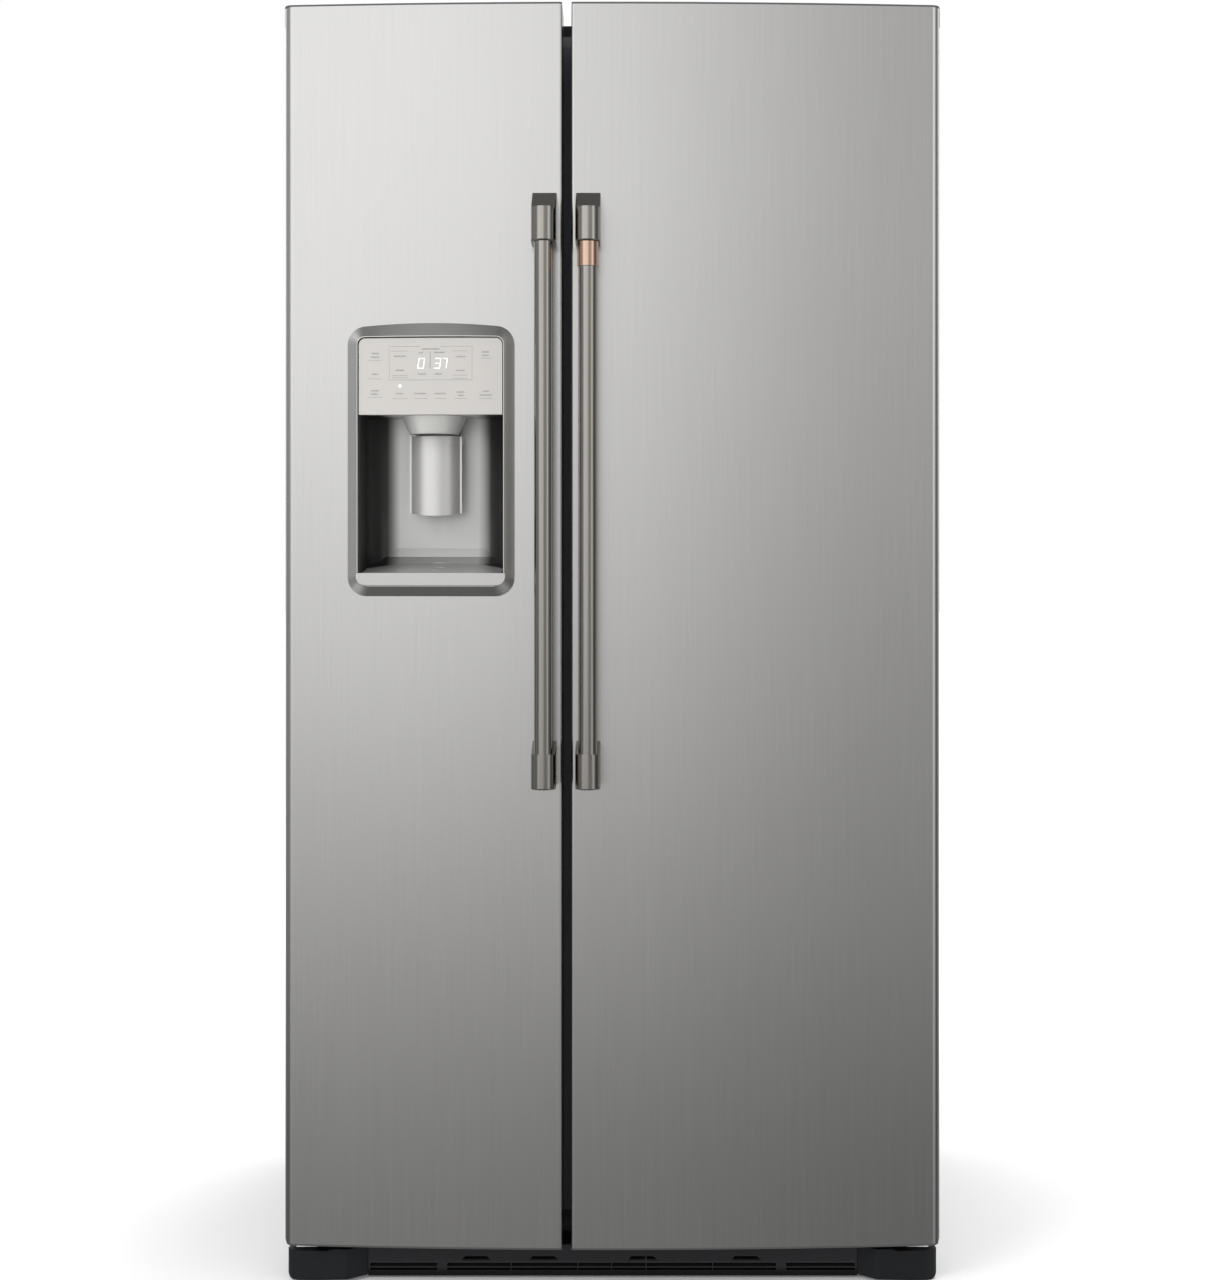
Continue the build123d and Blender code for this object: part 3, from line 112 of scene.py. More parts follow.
def mix_output(mix):
    """The colour output of a mix node."""
    return [s for s in mix.outputs if s.type == "RGBA"][0]


def two_tone(tree, value, low, high, start=0.3, end=0.7):
    """A colour that runs from low to high as the input rises."""
    made = node(tree, "ShaderNodeMapRange")
    made.inputs["From Min"].default_value = start
    made.inputs["From Max"].default_value = end
    tree.links.new(value, made.inputs["Value"])
    mix = node(tree, "ShaderNodeMix", data_type="RGBA")
    mix_input(mix, "A").default_value = (*low, 1)
    mix_input(mix, "B").default_value = (*high, 1)
    tree.links.new(made.outputs["Result"], mix.inputs["Factor"])
    return mix_output(mix)


def bump(tree, shader, value, strength, distance):
    """Fine relief on a shader."""
    made = node(tree, "ShaderNodeBump", Strength=strength, Distance=distance)
    tree.links.new(value, made.inputs["Height"])
    tree.links.new(made.outputs["Normal"], shader.inputs["Normal"])


def shade(colour, amount):
    """A colour made lighter or darker by a share."""
    return tuple(min(c * amount, 1.0) for c in colour)


def math_node(tree, operation, a, b):
    """Result of an operation on two values."""
    made = node(tree, "ShaderNodeMath", operation=operation)
    tree.links.new(a, made.inputs[0])
    tree.links.new(b, made.inputs[1])
    return made.outputs["Value"]


def absolute(tree, value):
    """Size of a value without its sign."""
    made = node(tree, "ShaderNodeMath", operation="ABSOLUTE")
    tree.links.new(value, made.inputs[0])
    return made.outputs["Value"]


def curve(tree, value, stops):
    """Grey level read off a list of (input from -1 to 1, level) stops."""
    remap = node(tree, "ShaderNodeMapRange")
    remap.inputs["From Min"].default_value = -1.0
    remap.inputs["From Max"].default_value = 1.0
    tree.links.new(value, remap.inputs["Value"])
    made = node(tree, "ShaderNodeValToRGB")
    elements = made.color_ramp.elements
    while len(elements) < len(stops):
        elements.new(0.5)
    for element, (at, grey) in zip(elements, stops):
        element.position = (at + 1) / 2
    for element, (at, grey) in zip(elements, stops):
        element.color = (grey, grey, grey, 1)
    tree.links.new(remap.outputs["Result"], made.inputs["Fac"])
    return made.outputs["Color"]


# ----------------------------------------------------------- dispenser directions
def joint(name):
    """A joint of the record by name."""
    return [j for j in frame["joints"] if j["name"] == name][0]


ACROSS = Vector(joint("paddle_hinge")["axis"]).normalized()
UP = Vector((0, 0, 1))
OUTWARD = ACROSS.cross(UP).normalized()
REAR = Vector((0, 1, 0))


# --------------------------------------------------------------------- materials
def brushed(name, colour, rough=(0.24, 0.34), stretch=(900, 900, 6), spread=0.05, aniso=0.5, relief=0.03,
            metal=1.0):
    """Brushed metal whose grain runs along the axis that is stretched least."""
    material, tree, shader = new_material(name)
    grain = noise(tree, 1.0, 4.0, stretch)
    cloud = noise(tree, 2.2, 2.0)
    shader.inputs["Metallic"].default_value = metal
    tone = two_tone(tree, grain, shade(colour, 1 - spread), shade(colour, 1 + spread))
    blend = node(tree, "ShaderNodeMix", data_type="RGBA", blend_type="MULTIPLY")
    blend.inputs["Factor"].default_value = 1.0
    tree.links.new(tone, mix_input(blend, "A"))
    tree.links.new(two_tone(tree, cloud, (0.97, 0.97, 0.97), (1, 1, 1)), mix_input(blend, "B"))
    tree.links.new(mix_output(blend), shader.inputs["Base Color"])
    tree.links.new(ramp(tree, grain, rough[0], rough[1]), shader.inputs["Roughness"])
    shader.inputs["Anisotropic"].default_value = aniso
    bump(tree, shader, grain, relief, 0.0002)
    return material


def satin(name, colour, rough=(0.3, 0.36), stretch=(500, 500, 8), metal=0.55):
    """Moulded part with a metal-look satin finish, between metal and paint."""
    return brushed(name, colour, rough, stretch, 0.02, 0.0, 0.004, metal)


def painted(name, colour, rough=0.42, peel=260, spread=0.05, relief=0.12):
    """Powder coated or painted sheet with fine orange peel."""
    material, tree, shader = new_material(name)
    skin = noise(tree, peel, 3.0)
    cloud = noise(tree, 3.0, 2.0)
    tree.links.new(two_tone(tree, cloud, shade(colour, 1 - spread), shade(colour, 1 + spread)),
                   shader.inputs["Base Color"])
    tree.links.new(ramp(tree, skin, rough - 0.05, rough + 0.06), shader.inputs["Roughness"])
    bump(tree, shader, skin, relief, 0.0006)
    return material


def plastic(name, colour, rough=0.5, grain=900, spread=0.06, relief=0.15, coat=0.0, shine=0.5):
    """Moulded plastic with a fine spark-eroded grain."""
    material, tree, shader = new_material(name)
    pits = noise(tree, grain, 4.0)
    cloud = noise(tree, 5.0, 3.0)
    tree.links.new(two_tone(tree, cloud, shade(colour, 1 - spread), shade(colour, 1 + spread)),
                   shader.inputs["Base Color"])
    tree.links.new(ramp(tree, pits, rough - 0.06, rough + 0.08), shader.inputs["Roughness"])
    shader.inputs["Coat Weight"].default_value = coat
    shader.inputs["Specular IOR Level"].default_value = shine
    bump(tree, shader, pits, relief, 0.0003)
    return material


def galvanised(name, colour):
    """Zinc coated steel with a faint spangle."""
    material, tree, shader = new_material(name)
    cells = node(tree, "ShaderNodeTexVoronoi", Scale=70.0)
    tree.links.new(place(tree, (1, 1, 1)), cells.inputs["Vector"])
    grey = node(tree, "ShaderNodeRGBToBW")
    tree.links.new(cells.outputs["Color"], grey.inputs["Color"])
    shader.inputs["Metallic"].default_value = 0.85
    tree.links.new(two_tone(tree, grey.outputs["Val"], shade(colour, 0.88), shade(colour, 1.08), 0, 1),
                   shader.inputs["Base Color"])
    tree.links.new(ramp(tree, grey.outputs["Val"], 0.34, 0.52, 0, 1), shader.inputs["Roughness"])
    bump(tree, shader, noise(tree, 300, 3.0), 0.08, 0.0004)
    return material


def clear(name, colour, alpha, rough):
    """Thin clear plastic or glass: a tinted see-through surface with faint haze."""
    material, tree, shader = new_material(name)
    haze = noise(tree, 40, 3.0)
    tree.links.new(two_tone(tree, haze, shade(colour, 0.95), colour), shader.inputs["Base Color"])
    tree.links.new(ramp(tree, haze, rough, rough + 0.06), shader.inputs["Roughness"])
    shader.inputs["Alpha"].default_value = alpha
    shader.inputs["Specular IOR Level"].default_value = 0.6
    return material


def foam(name, colour):
    """Rigid foam with open cells."""
    material, tree, shader = new_material(name)
    cells = node(tree, "ShaderNodeTexVoronoi", Scale=420.0)
    tree.links.new(place(tree, (1, 1, 1)), cells.inputs["Vector"])
    tree.links.new(two_tone(tree, cells.outputs["Distance"], shade(colour, 0.8), colour, 0, 0.6),
                   shader.inputs["Base Color"])
    shader.inputs["Roughness"].default_value = 0.9
    bump(tree, shader, cells.outputs["Distance"], 0.4, 0.001)
    return material


def grille_plastic(name, colour):
    """Dark moulded plastic with painted shade that darkens it towards the floor."""
    material, tree, shader = new_material(name)
    where = node(tree, "ShaderNodeTexCoord")
    split = node(tree, "ShaderNodeSeparateXYZ")
    tree.links.new(where.outputs["Object"], split.inputs["Vector"])
    # painted shade: the colour falls to 15% between 16 mm and 8 mm above the floor
    tree.links.new(two_tone(tree, split.outputs["Z"], shade(colour, 0.15), colour, 8 * MM, 16 * MM),
                   shader.inputs["Base Color"])
    tree.links.new(ramp(tree, noise(tree, 600, 3.0), 0.5, 0.62), shader.inputs["Roughness"])
    shader.inputs["Specular IOR Level"].default_value = 0.2
    bump(tree, shader, noise(tree, 900, 3.0), 0.1, 0.0003)
    return material


def cavity_metal(name, colour):
    """Metal-look plastic of the dispenser cavity: satin on the back wall, with painted shade and painted dark
    reflection down both sides.
    """
    material, tree, shader = new_material(name)
    low, high = (Vector(p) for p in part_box("dispenser_recess"))
    middle = (low + high) / 2
    where = node(tree, "ShaderNodeTexCoord")
    offset = node(tree, "ShaderNodeVectorMath", operation="SUBTRACT")
    offset.inputs[1].default_value = middle
    tree.links.new(where.outputs["Object"], offset.inputs[0])
    across = node(tree, "ShaderNodeVectorMath", operation="DOT_PRODUCT")
    across.inputs[1].default_value = ACROSS
    tree.links.new(offset.outputs["Vector"], across.inputs[0])
    reach = absolute(tree, across.outputs["Value"])
    grain = noise(tree, 1.0, 4.0, (500, 500, 8))
    shader.inputs["Metallic"].default_value = 0.55
    # painted shade and dark reflection: base colour falls to 8% between 56 and 74 mm off the cavity's middle line
    tree.links.new(two_tone(tree, reach, colour, shade(colour, 0.08), 56 * MM, 74 * MM),
                   shader.inputs["Base Color"])
    tree.links.new(ramp(tree, grain, 0.32, 0.38), shader.inputs["Roughness"])
    bump(tree, shader, grain, 0.01, 0.0002)
    return material


def glow(name, colour, strength):
    """Lit indicator behind a frosted face."""
    material, tree, shader = new_material(name)
    frost = noise(tree, 500, 2.0)
    tone = two_tone(tree, frost, shade(colour, 0.92), colour)
    tree.links.new(tone, shader.inputs["Base Color"])
    tree.links.new(tone, shader.inputs["Emission Color"])
    shader.inputs["Emission Strength"].default_value = strength
    shader.inputs["Roughness"].default_value = 0.4
    return material


STEEL = (0.60, 0.595, 0.585)
MATERIALS = {
    "stainless": brushed("stainless_brushed", STEEL, (0.225, 0.245), spread=0.025, aniso=0.4, relief=0.015),
    "gunmetal": brushed("gunmetal_brushed", (0.36, 0.342, 0.318), (0.14, 0.22), (700, 700, 5), 0.1, 0.2),
    "copper": brushed("copper_brushed", (0.62, 0.43, 0.33), (0.12, 0.2), (20, 20, 900), 0.06, 0.2),
    "case_paint": painted("case_paint", (0.16, 0.16, 0.165), 0.45),
    "zinc_steel": galvanised("zinc_steel", (0.50, 0.51, 0.52)),
    "black_steel": painted("black_steel", (0.02, 0.02, 0.022), 0.4),
    "insulation": foam("insulation", (0.80, 0.70, 0.42)),
    "white_liner": plastic("white_liner", (0.80, 0.81, 0.81), 0.32, 500, 0.02, 0.06, 0.15),
    "dark_plastic": plastic("dark_plastic", (0.010, 0.011, 0.013), 0.5, 700, shine=0.25),
    "cap_plastic": plastic("cap_plastic", (0.075, 0.075, 0.075), 0.42, 700),
    "grey_plastic": plastic("grey_plastic", (0.20, 0.21, 0.22), 0.5, 700),
    "bezel_paint": brushed("bezel_metal", (0.74, 0.74, 0.73), (0.28, 0.30), (60, 60, 30), 0.01, 0.0, 0.001),
    "panel_face": plastic("panel_face", (0.475, 0.460, 0.440), 0.3, 1200, 0.015, 0.03, 0.3),
    "recess_plastic": satin("recess_metallic", (0.66, 0.655, 0.64)),
    "seal_rubber": plastic("seal_rubber", (0.085, 0.087, 0.09), 0.65, 400),
    "wheel_plastic": plastic("wheel_plastic", (0.03, 0.03, 0.03), 0.6, 300),
    "coil_aluminium": brushed("coil_aluminium", (0.75, 0.76, 0.77), (0.25, 0.4), (60, 60, 500), 0.06, 0.2),
    "shelf_glass": clear("shelf_glass", (0.72, 0.86, 0.84), 0.32, 0.03),
    "clear_plastic": clear("clear_plastic", (0.80, 0.86, 0.90), 0.38, 0.12),
    "lens_plastic": plastic("lens_plastic", (0.86, 0.86, 0.84), 0.35, 200, 0.02, 0.1),
    "shelf_wire": painted("shelf_wire", (0.82, 0.82, 0.82), 0.3, 200, 0.02, 0.05),
}
NODE_MATERIALS = {
    "mullion_rail": plastic("mullion_plastic", (0.125, 0.13, 0.145), 0.5, 500),
    "ice_chute": satin("funnel_satin", (0.62, 0.62, 0.60), (0.28, 0.36), (300, 300, 60), 0.35),
    "base_grille": grille_plastic("grille_plastic", (0.026, 0.026, 0.029)),
    "drip_tray": satin("tray_satin", (0.53, 0.527, 0.52)),
    "dispenser_recess": cavity_metal("cavity_metal", (0.66, 0.66, 0.645)),
}
DIGIT_GLOW = glow("digit_glow", (1.0, 1.0, 0.98), 1.1)
INK = plastic("panel_ink", (0.19, 0.18, 0.17), 0.4, 800, 0.1, 0.02)


def paint_nodes():
    """Give every CAD node the procedural material of its slot."""
    slots = {entry["node"]: entry["material_slot"] for entry in frame["record"]["subparts"]}
    for name, obj in frame["nodes"].items():
        obj.data.materials.clear()
        obj.data.materials.append(NODE_MATERIALS.get(name) or MATERIALS[slots[name]])


paint_nodes()


# ------------------------------------------------------------------ mesh helpers
def finish_mesh(name, build, body, material, smooth=True):
    """Turn a bmesh into a piece that rides on a body."""
    mesh = bpy.data.meshes.new(name)
    bmesh.ops.recalc_face_normals(build, faces=build.faces)
    build.to_mesh(mesh)
    build.free()
    piece = bpy.data.objects.new(name, mesh)
    bpy.context.scene.collection.objects.link(piece)
    mesh.materials.append(material)
    if smooth:
        for face in mesh.polygons:
            face.use_smooth = True
        mesh.set_sharp_from_angle(angle=math.radians(35))
    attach(piece, body)


def lathe(build, origin, axis, profile, segments=96):
    """Revolve (distance along axis, radius) points about an axis; returns the rings of vertices."""
    turn = Vector((0, 0, 1)).rotation_difference(Vector(axis)).to_matrix()
    rings = []
    for along, radius in profile:
        ring = []
        for step in range(segments):
            angle = 2 * math.pi * step / segments
            local = Vector((radius * math.cos(angle), radius * math.sin(angle), along))
            ring.append(build.verts.new(Vector(origin) + turn @ local))
        rings.append(ring)
    for lower, upper in zip(rings, rings[1:]):
        for step in range(segments):
            after = (step + 1) % segments
            build.faces.new((lower[step], lower[after], upper[after], upper[step]))
    return rings


def cap_ends(build, rings):
    """Close the first and last ring of a lathe."""
    build.faces.new(rings[0])
    build.faces.new(rings[-1])


def block(build, near, far):
    """Closed block between two outlines with the same number of points."""
    lower = [build.verts.new(point) for point in near]
    upper = [build.verts.new(point) for point in far]
    build.faces.new(upper)
    build.faces.new(lower)
    for step in range(len(lower)):
        after = (step + 1) % len(lower)
        build.faces.new((lower[step], lower[after], upper[after], upper[step]))


def panel_face():
    """Middle of the control panel's front face, from the box of the turned panel."""
    low, high = (Vector(p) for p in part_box("control_panel"))
    size = high - low
    across, turned = abs(ACROSS.x), abs(ACROSS.y)
    determinant = across**2 - turned**2
    thickness = (size.y * across - size.x * turned) / determinant
    return (low + high) / 2 + OUTWARD * thickness / 2


PANEL_MIDDLE = panel_face()
LAMP_THICK = 0.1 * MM
# millimetres in front of the panel face
PANEL_CLEAR = 0.02
LIT_PROUD = 0.12
INK_PROUD = 0.06


def panel_point(u, v, proud):
    """Point on the panel face: u across and v up from its middle, in millimetres."""
    return PANEL_MIDDLE + ACROSS * u * MM + UP * v * MM + OUTWARD * proud * MM


def panel_bar(build, start, end, width, proud):
    """Flat printed or lit stroke on the panel between two points, with a little thickness."""
    a, b = Vector(start), Vector(end)
    along = (b - a).normalized()
    side = Vector((-along.y, along.x)) * width / 2
    corners = (a + side, b + side, b - side, a - side)
    block(build, [panel_point(c.x, c.y, PANEL_CLEAR) for c in corners],
          [panel_point(c.x, c.y, proud) for c in corners])


SEGMENTS = {"0": "abcdef", "3": "abcdg", "7": "abc"}
FIGURE_TALL = 13.4
FIGURE_SLANT = 0.14
FIGURE_STROKE = 0.78


def digit(build, figure, u, v, wide, tall, slant, stroke):
    """Seven segment figure, leaning to the right."""
    half = tall / 2
    cut = stroke * 0.5
    places = {
        "a": ((0, tall), (wide, tall)),
        "b": ((wide, tall - cut), (wide, half + cut)),
        "c": ((wide, half - cut), (wide, cut)),
        "d": ((0, 0), (wide, 0)),
        "e": ((0, half - cut), (0, cut)),
        "f": ((0, tall - cut), (0, half + cut)),
        "g": ((cut, half), (wide - cut, half)),
    }
    for letter in SEGMENTS[figure]:
        (x0, y0), (x1, y1) = places[letter]
        panel_bar(build, (u + x0 + slant * y0, v + y0), (u + x1 + slant * y1, v + y1), stroke, LIT_PROUD)


def disc(build, u, v, radius):
    """Small round lamp on the panel."""
    rings = lathe(build, panel_point(u, v, PANEL_CLEAR), OUTWARD,
                  ((0, radius * MM), (LAMP_THICK, radius * MM)), 32)
    cap_ends(build, rings)


def word(build, left, right, v, tall=2.3):
    """Row of small upright strokes that stands for a printed label."""
    count = max(2, round((right - left) / 1.5))
    step = (right - left) / count
    for index in range(count):
        u = left + step * (index + 0.5)
        height = tall * (1.0, 0.72, 0.86, 0.66)[(index * 7 + round(v)) % 4]
        panel_bar(build, (u, v - height / 2), (u, v + height / 2), 0.72, INK_PROUD)
    panel_bar(build, (left, v - tall * 0.3), (right, v - tall * 0.3), 0.3, INK_PROUD)


def rule(build, left, right, v, width=0.45):
    """Thin printed line."""
    panel_bar(build, (left, v), (right, v), width, INK_PROUD)


def panel_marks():
    """Printed outlines and label bars, and the lit figures and lamp, in millimetres from the middle."""
    lit = bmesh.new()
    for figure, u, wide in (("0", -17.4, 7.6), ("3", 5.2, 7.4), ("7", 15.6, 6.0)):
        digit(lit, figure, u, 10.8, wide, FIGURE_TALL, FIGURE_SLANT, FIGURE_STROKE)
    disc(lit, -41.7, -13.4, 1.9)
    finish_mesh("panel_figures", lit, "freezer_door", DIGIT_GLOW, False)

    ink = bmesh.new()
    for left, right, v in (
        (-56.7, -14, 40.8), (14, 57.4, 40.8), (-56.7, 57.4, -5.1),
        (-85.7, -68.4, 21.6), (-54.3, -31.5, 34.5), (-52.5, -31.5, 1.2), (-52.5, -31.5, -1.8),
        (-85.7, -66, -3.5), (-86, -66, -28.7), (-52.5, -31.5, -30.8), (-22, -4.5, -30.8),
        (5, 22, -30.8), (33, 50, -30.8), (67, 85, -30.8), (69, 84, 24.3), (31, 51, 34.5),
        (31, 51, 1.2), (31, 51, -3.0),
    ):
        rule(ink, left, right, v)
    for u, low, high, width in ((-56.7, -5, 40.8, 0.4), (57.4, -5, 40.8, 0.4), (-0.2, 10, 34, 0.7)):
        panel_bar(ink, (u, low), (u, high), width, INK_PROUD)
    for left, right, v in (
        (-81, -71, 31.4), (-82.5, -70, 26.3), (-50.4, -33.8, 27.5), (-48, -36.2, 8.1), (-81, -72, 3.1),
        (-81.5, -71, -19.7), (-82, -72, -24.4), (-48, -37, -23.7), (-22.1, -5.5, -23.7),
        (5.5, 21.2, -23.7), (36, 47, -21.8), (38, 46, -26.4), (71.5, 81, -20.8), (67.7, 85, -26),
        (71, 81, 33), (71.5, 80.5, 28.2), (34.6, 48.8, 26.7), (35.5, 47.5, 7.8), (-12, 12.5, 37.4),
        (-16.5, -10.2, 32.2), (4.7, 19.6, 32.5), (-17, -6, 3.1), (6, 16, 3.1),
    ):
        word(ink, left, right, v)
    finish_mesh("panel_printing", ink, "freezer_door", INK, False)


panel_marks()


# --------------------------------------------------------------- rear of the case
LABEL_WHITE = plastic("label_white", (0.72, 0.72, 0.70), 0.45, 600, 0.02, 0.02)
LABEL_INK = plastic("label_ink", (0.04, 0.04, 0.045), 0.5, 600, 0.05, 0.02)
SCREW_STEEL = brushed("screw_steel", (0.62, 0.62, 0.61), (0.25, 0.35), (300, 300, 300), 0.05, 0.0, 0.02)
SCREW_RADIUS = 4.8 * MM
SCREW_INSET = 9 * MM
LABEL_LEFT, LABEL_RIGHT, LABEL_LOW, LABEL_HIGH = 0.20, 0.34, 1.43, 1.53
LABEL_THICK = 0.2 * MM
PRINT_THICK = 0.1 * MM


def screw(build, at, axis, radius, proud):
    """Hexagon washer head screw: a flat flange and a six sided head."""
    flange = lathe(build, at, axis, ((0, radius), (proud * 0.3, radius), (proud * 0.4, radius * 0.94)), 32)
    cap_ends(build, flange)
    head = lathe(build, at, axis, ((proud * 0.3, radius * 0.62), (proud * 0.9, radius * 0.62),
                                   (proud, radius * 0.54)), 6)
    cap_ends(build, head)


def rear_plate(build, left, right, low, high, face, proud):
    """Thin upright sheet on a rear face."""
    corners = ((left, low), (right, low), (right, high), (left, high))
    block(build, [(x, face, z) for x, z in corners], [(x, face + proud, z) for x, z in corners])


def spread(start, end, count):
    """Evenly spaced places from start to end."""
    return [start + (end - start) * step / (count - 1) for step in range(count)]


def rear_screws():
    """Screws round the back panel and along the machine cover."""
    back_low, back_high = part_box("case_back_panel")
    cover_low, cover_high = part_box("machine_cover")
    room = CAD_HIGH[1] - PRINT_THICK
    screws = bmesh.new()
    back_face, back_proud = back_high[1], room - back_high[1]
    for z in spread(back_low[2] + 30 * MM, back_high[2] - 30 * MM, 7):
        for x in (back_low[0] + SCREW_INSET, back_high[0] - SCREW_INSET):
            screw(screws, (x, back_face, z), REAR, SCREW_RADIUS, back_proud)
    for x in spread(back_low[0] + 160 * MM, back_high[0] - 160 * MM, 5):
        screw(screws, (x, back_face, back_high[2] - SCREW_INSET), REAR, SCREW_RADIUS, back_proud)
    cover_proud = min(room - cover_high[1], 1.9 * MM)
    for x in spread(cover_low[0] + 20 * MM, cover_high[0] - 20 * MM, 5):
        for z in (cover_low[2] + SCREW_INSET, cover_high[2] - SCREW_INSET):
            screw(screws, (x, cover_high[1], z), REAR, SCREW_RADIUS, cover_proud)
    finish_mesh("rear_screws", screws, "cabinet", SCREW_STEEL)


def rating_label():
    """Rating label without words: a white sheet with plain bars and a row of stripes."""
    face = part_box("case_back_panel")[1][1]
    label = bmesh.new()
    rear_plate(label, LABEL_LEFT, LABEL_RIGHT, LABEL_LOW, LABEL_HIGH, face, LABEL_THICK)
    finish_mesh("rating_label", label, "cabinet", LABEL_WHITE, False)
    ink = bmesh.new()
    start = LABEL_LEFT + 10 * MM
    face += LABEL_THICK
    for row, share in enumerate((1.0, 0.7, 0.85, 0.55, 0.9, 0.65, 0.4)):
        z = LABEL_HIGH - (14 + 12 * row) * MM
        end = start + 120 * MM * share
        rear_plate(ink, start, end, z - 2.2 * MM, z + 2.2 * MM, face, PRINT_THICK)
    for stripe in range(18):
        x = LABEL_RIGHT - 52 * MM + stripe * 2.4 * MM
        width = (0.8 + 0.6 * (stripe * 5 % 3)) * MM
        rear_plate(ink, x, x + width, LABEL_LOW + 6 * MM, LABEL_LOW + 20 * MM, face, PRINT_THICK)
    finish_mesh("rating_label_print", ink, "cabinet", LABEL_INK, False)


rear_screws()
rating_label()


# ------------------------------------------------------------------------ stage
# (direction, level) stops of the light that shiny surfaces see: LOW_LIGHT and LEFT_LIGHT by how far up the
# direction points, SIDE_FADE and LEFT_SPREAD by how far it points towards +X, each from -1 to 1
LOW_LIGHT = (
    (-1, 0.05), (-0.8, 0.08), (-0.66, 0.42), (-0.5, 0.42), (-0.4, 0.2), (-0.34, 0.12), (-0.287, 0.13),
    (-0.16, 0.345), (-0.044, 0.43), (0.11, 0.59), (0.3, 0.62), (0.55, 0.42), (0.8, 0.16), (1, 0.06),
)
LEFT_LIGHT = (
    (-1, 0.0), (-0.5, 0.02), (-0.287, 0.08), (-0.16, 0.20), (-0.044, 0.57), (0.11, 0.76), (0.3, 0.78),
    (0.55, 0.4), (0.8, 0.05), (1, 0.0),
)
SIDE_FADE = (
    (-1, 0.75), (-0.93, 0.75), (-0.905, 0.3), (-0.88, 0.3), (-0.86, 1.5), (-0.7, 1.35), (-0.5, 1.0),
    (-0.1, 1.0), (0.3, 0.88), (0.6, 0.98), (0.74, 2.2), (0.85, 2.3), (0.9, 1.1), (0.96, 0.3), (1, 0.3),
)
LEFT_SPREAD = (
    (-1, 0.0), (-0.8, 0.0), (-0.74, 0.9), (-0.5, 1.0), (-0.17, 1.0), (-0.08, 0.95), (0.0, 0.7),
    (0.14, 0.3), (0.3, 0.0), (1, 0.0),
)
FILL_STRENGTH = 0.8
FLOOR_GAP = 0.6 * MM
PAINTED_SHADOW_INSET = 0.09           # how far inside the object's sides the painted shadow on the floor under it is fully dark
PAINTED_SHADOW_HALF_Y = 0.20          # half depth of that painted shadow
FADE = 0.07                 # width over which it turns pale


def build_world():
    """White backdrop for the camera, even fill for matt surfaces, graded room for shiny ones."""
    world = bpy.data.worlds.new("studio")
    bpy.context.scene.world = world
    world.use_nodes = True
    tree = world.node_tree
    tree.nodes.clear()
    output = node(tree, "ShaderNodeOutputWorld")
    where = node(tree, "ShaderNodeTexCoord")
    split = node(tree, "ShaderNodeSeparateXYZ")
    tree.links.new(where.outputs["Generated"], split.inputs["Vector"])
    up, side = split.outputs["Z"], split.outputs["X"]
    even = math_node(tree, "MULTIPLY", curve(tree, up, LOW_LIGHT), curve(tree, side, SIDE_FADE))
    left = math_node(tree, "MULTIPLY", curve(tree, up, LEFT_LIGHT), curve(tree, side, LEFT_SPREAD))
    room = node(tree, "ShaderNodeBackground", Strength=1.0)
    tree.links.new(math_node(tree, "ADD", even, left), room.inputs["Color"])
    fill = node(tree, "ShaderNodeBackground", Strength=FILL_STRENGTH)
    fill.inputs["Color"].default_value = (1, 1, 1, 1)
    backdrop = node(tree, "ShaderNodeBackground", Strength=1.0)
    backdrop.inputs["Color"].default_value = (1, 1, 1, 1)
    path = node(tree, "ShaderNodeLightPath")
    matt = node(tree, "ShaderNodeMixShader")
    tree.links.new(path.outputs["Is Diffuse Ray"], matt.inputs["Fac"])
    tree.links.new(room.outputs["Background"], matt.inputs[1])
    tree.links.new(fill.outputs["Background"], matt.inputs[2])
    choose = node(tree, "ShaderNodeMixShader")
    tree.links.new(path.outputs["Is Camera Ray"], choose.inputs["Fac"])
    tree.links.new(matt.outputs["Shader"], choose.inputs[1])
    tree.links.new(backdrop.outputs["Background"], choose.inputs[2])
    tree.links.new(choose.outputs["Shader"], output.inputs["Surface"])


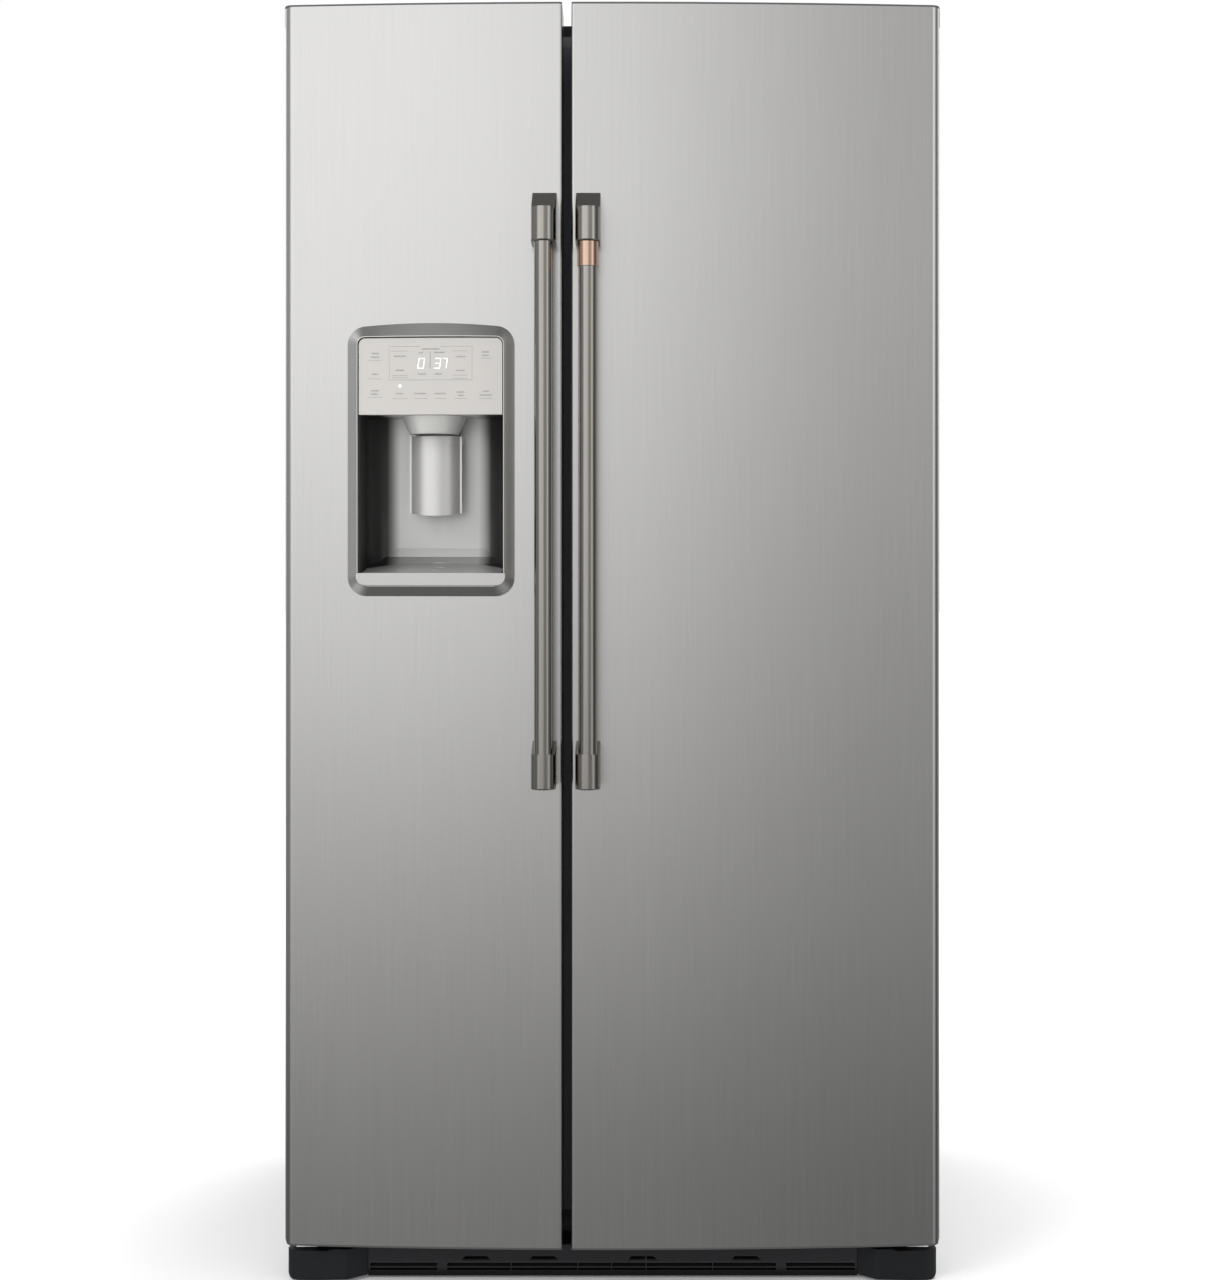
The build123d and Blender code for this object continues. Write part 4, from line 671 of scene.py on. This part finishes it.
def floor_paint():
    """Pale matt floor with a painted shadow right under the object, that lightens until it meets the backdrop."""
    material, tree, shader = new_material("floor_paint")
    where = node(tree, "ShaderNodeTexCoord")
    reach = node(tree, "ShaderNodeVectorMath", operation="LENGTH")
    tree.links.new(where.outputs["Object"], reach.inputs[0])
    split = node(tree, "ShaderNodeSeparateXYZ")
    tree.links.new(where.outputs["Object"], split.inputs["Vector"])
    across, along = (absolute(tree, split.outputs[axis]) for axis in "XY")
    # mask of the painted shadow under the object: 0 inside it, 1 outside
    painted_shadow_half_x = CAD_HIGH[0] - PAINTED_SHADOW_INSET
    clear_x = ramp(tree, across, 0, 1, painted_shadow_half_x, painted_shadow_half_x + FADE)
    clear_y = ramp(tree, along, 0, 1, PAINTED_SHADOW_HALF_Y, PAINTED_SHADOW_HALF_Y + FADE)
    outside_painted_shadow = math_node(tree, "MAXIMUM", clear_x, clear_y)
    pale = node(tree, "ShaderNodeMix", data_type="RGBA")
    # painted shadow: near-black floor colour under the object, with no emission there
    mix_input(pale, "A").default_value = (0.03, 0.03, 0.03, 1)
    tree.links.new(outside_painted_shadow, pale.inputs["Factor"])
    tree.links.new(two_tone(tree, noise(tree, 2.0), (0.86, 0.86, 0.86), (0.88, 0.88, 0.88)),
                   mix_input(pale, "B"))
    tree.links.new(mix_output(pale), shader.inputs["Base Color"])
    shader.inputs["Roughness"].default_value = 0.8
    shader.inputs["Specular IOR Level"].default_value = 0.1
    shader.inputs["Emission Color"].default_value = (1, 1, 1, 1)
    lift = ramp(tree, reach.outputs["Value"], 0.1, 0.6, 0.6, 2.5)
    tree.links.new(math_node(tree, "MULTIPLY", lift, outside_painted_shadow), shader.inputs["Emission Strength"])
    return material


def build_floor():
    """Plain pale floor that fades into the backdrop."""
    build = bmesh.new()
    bmesh.ops.create_circle(build, cap_ends=True, segments=96, radius=30)
    mesh = bpy.data.meshes.new("floor")
    build.to_mesh(mesh)
    build.free()
    floor = bpy.data.objects.new("floor", mesh)
    bpy.context.scene.collection.objects.link(floor)
    floor.location = (0, 0, CAD_LOW[2] - FLOOR_GAP)
    mesh.materials.append(floor_paint())
    floor.visible_glossy = False


def area_light(name, place_at, target, size, power):
    """Soft rectangular light aimed at a point, left out of reflections."""
    data = bpy.data.lights.new(name, "AREA")
    data.shape = "RECTANGLE"
    data.size, data.size_y = size
    data.energy = power
    light = bpy.data.objects.new(name, data)
    bpy.context.scene.collection.objects.link(light)
    light.location = place_at
    aim = Vector(target) - Vector(place_at)
    light.rotation_euler = aim.to_track_quat("-Z", "Y").to_euler()
    light.visible_glossy = False


def build_lights():
    """Soft key from the front left, one light above and one behind; none shows as a reflection."""
    middle = (0, 0, (CAD_LOW[2] + CAD_HIGH[2]) / 2)
    area_light("key", (-3.2, -3.8, 3.6), middle, (2.4, 2.4), 95)
    area_light("top", (0.4, 0.3, 4.6), middle, (4, 4), 70)
    area_light("back", (2.0, 4.2, 3.0), middle, (3, 3), 80)


def build_camera():
    """Upright view camera in front of the doors, with a small drop of the frame."""
    distance = 3.0
    height = 1.0217
    aside = 0.003
    scale = 0.57                  # share of the picture's height that a metre on the door plane takes
    data = bpy.data.cameras.new("camera")
    data.sensor_fit = "AUTO"
    data.sensor_width = 36.0
    data.lens = scale * distance * data.sensor_width
    data.shift_y = -0.075
    camera = bpy.data.objects.new("camera", data)
    bpy.context.scene.collection.objects.link(camera)
    camera.location = (aside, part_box("fridge_door_skin")[0][1] - distance, height)
    camera.rotation_euler = (math.pi / 2, 0, 0)
    bpy.context.scene.camera = camera


build_world()
build_floor()
build_lights()
build_camera()
bpy.context.scene.view_settings.view_transform = "Standard"
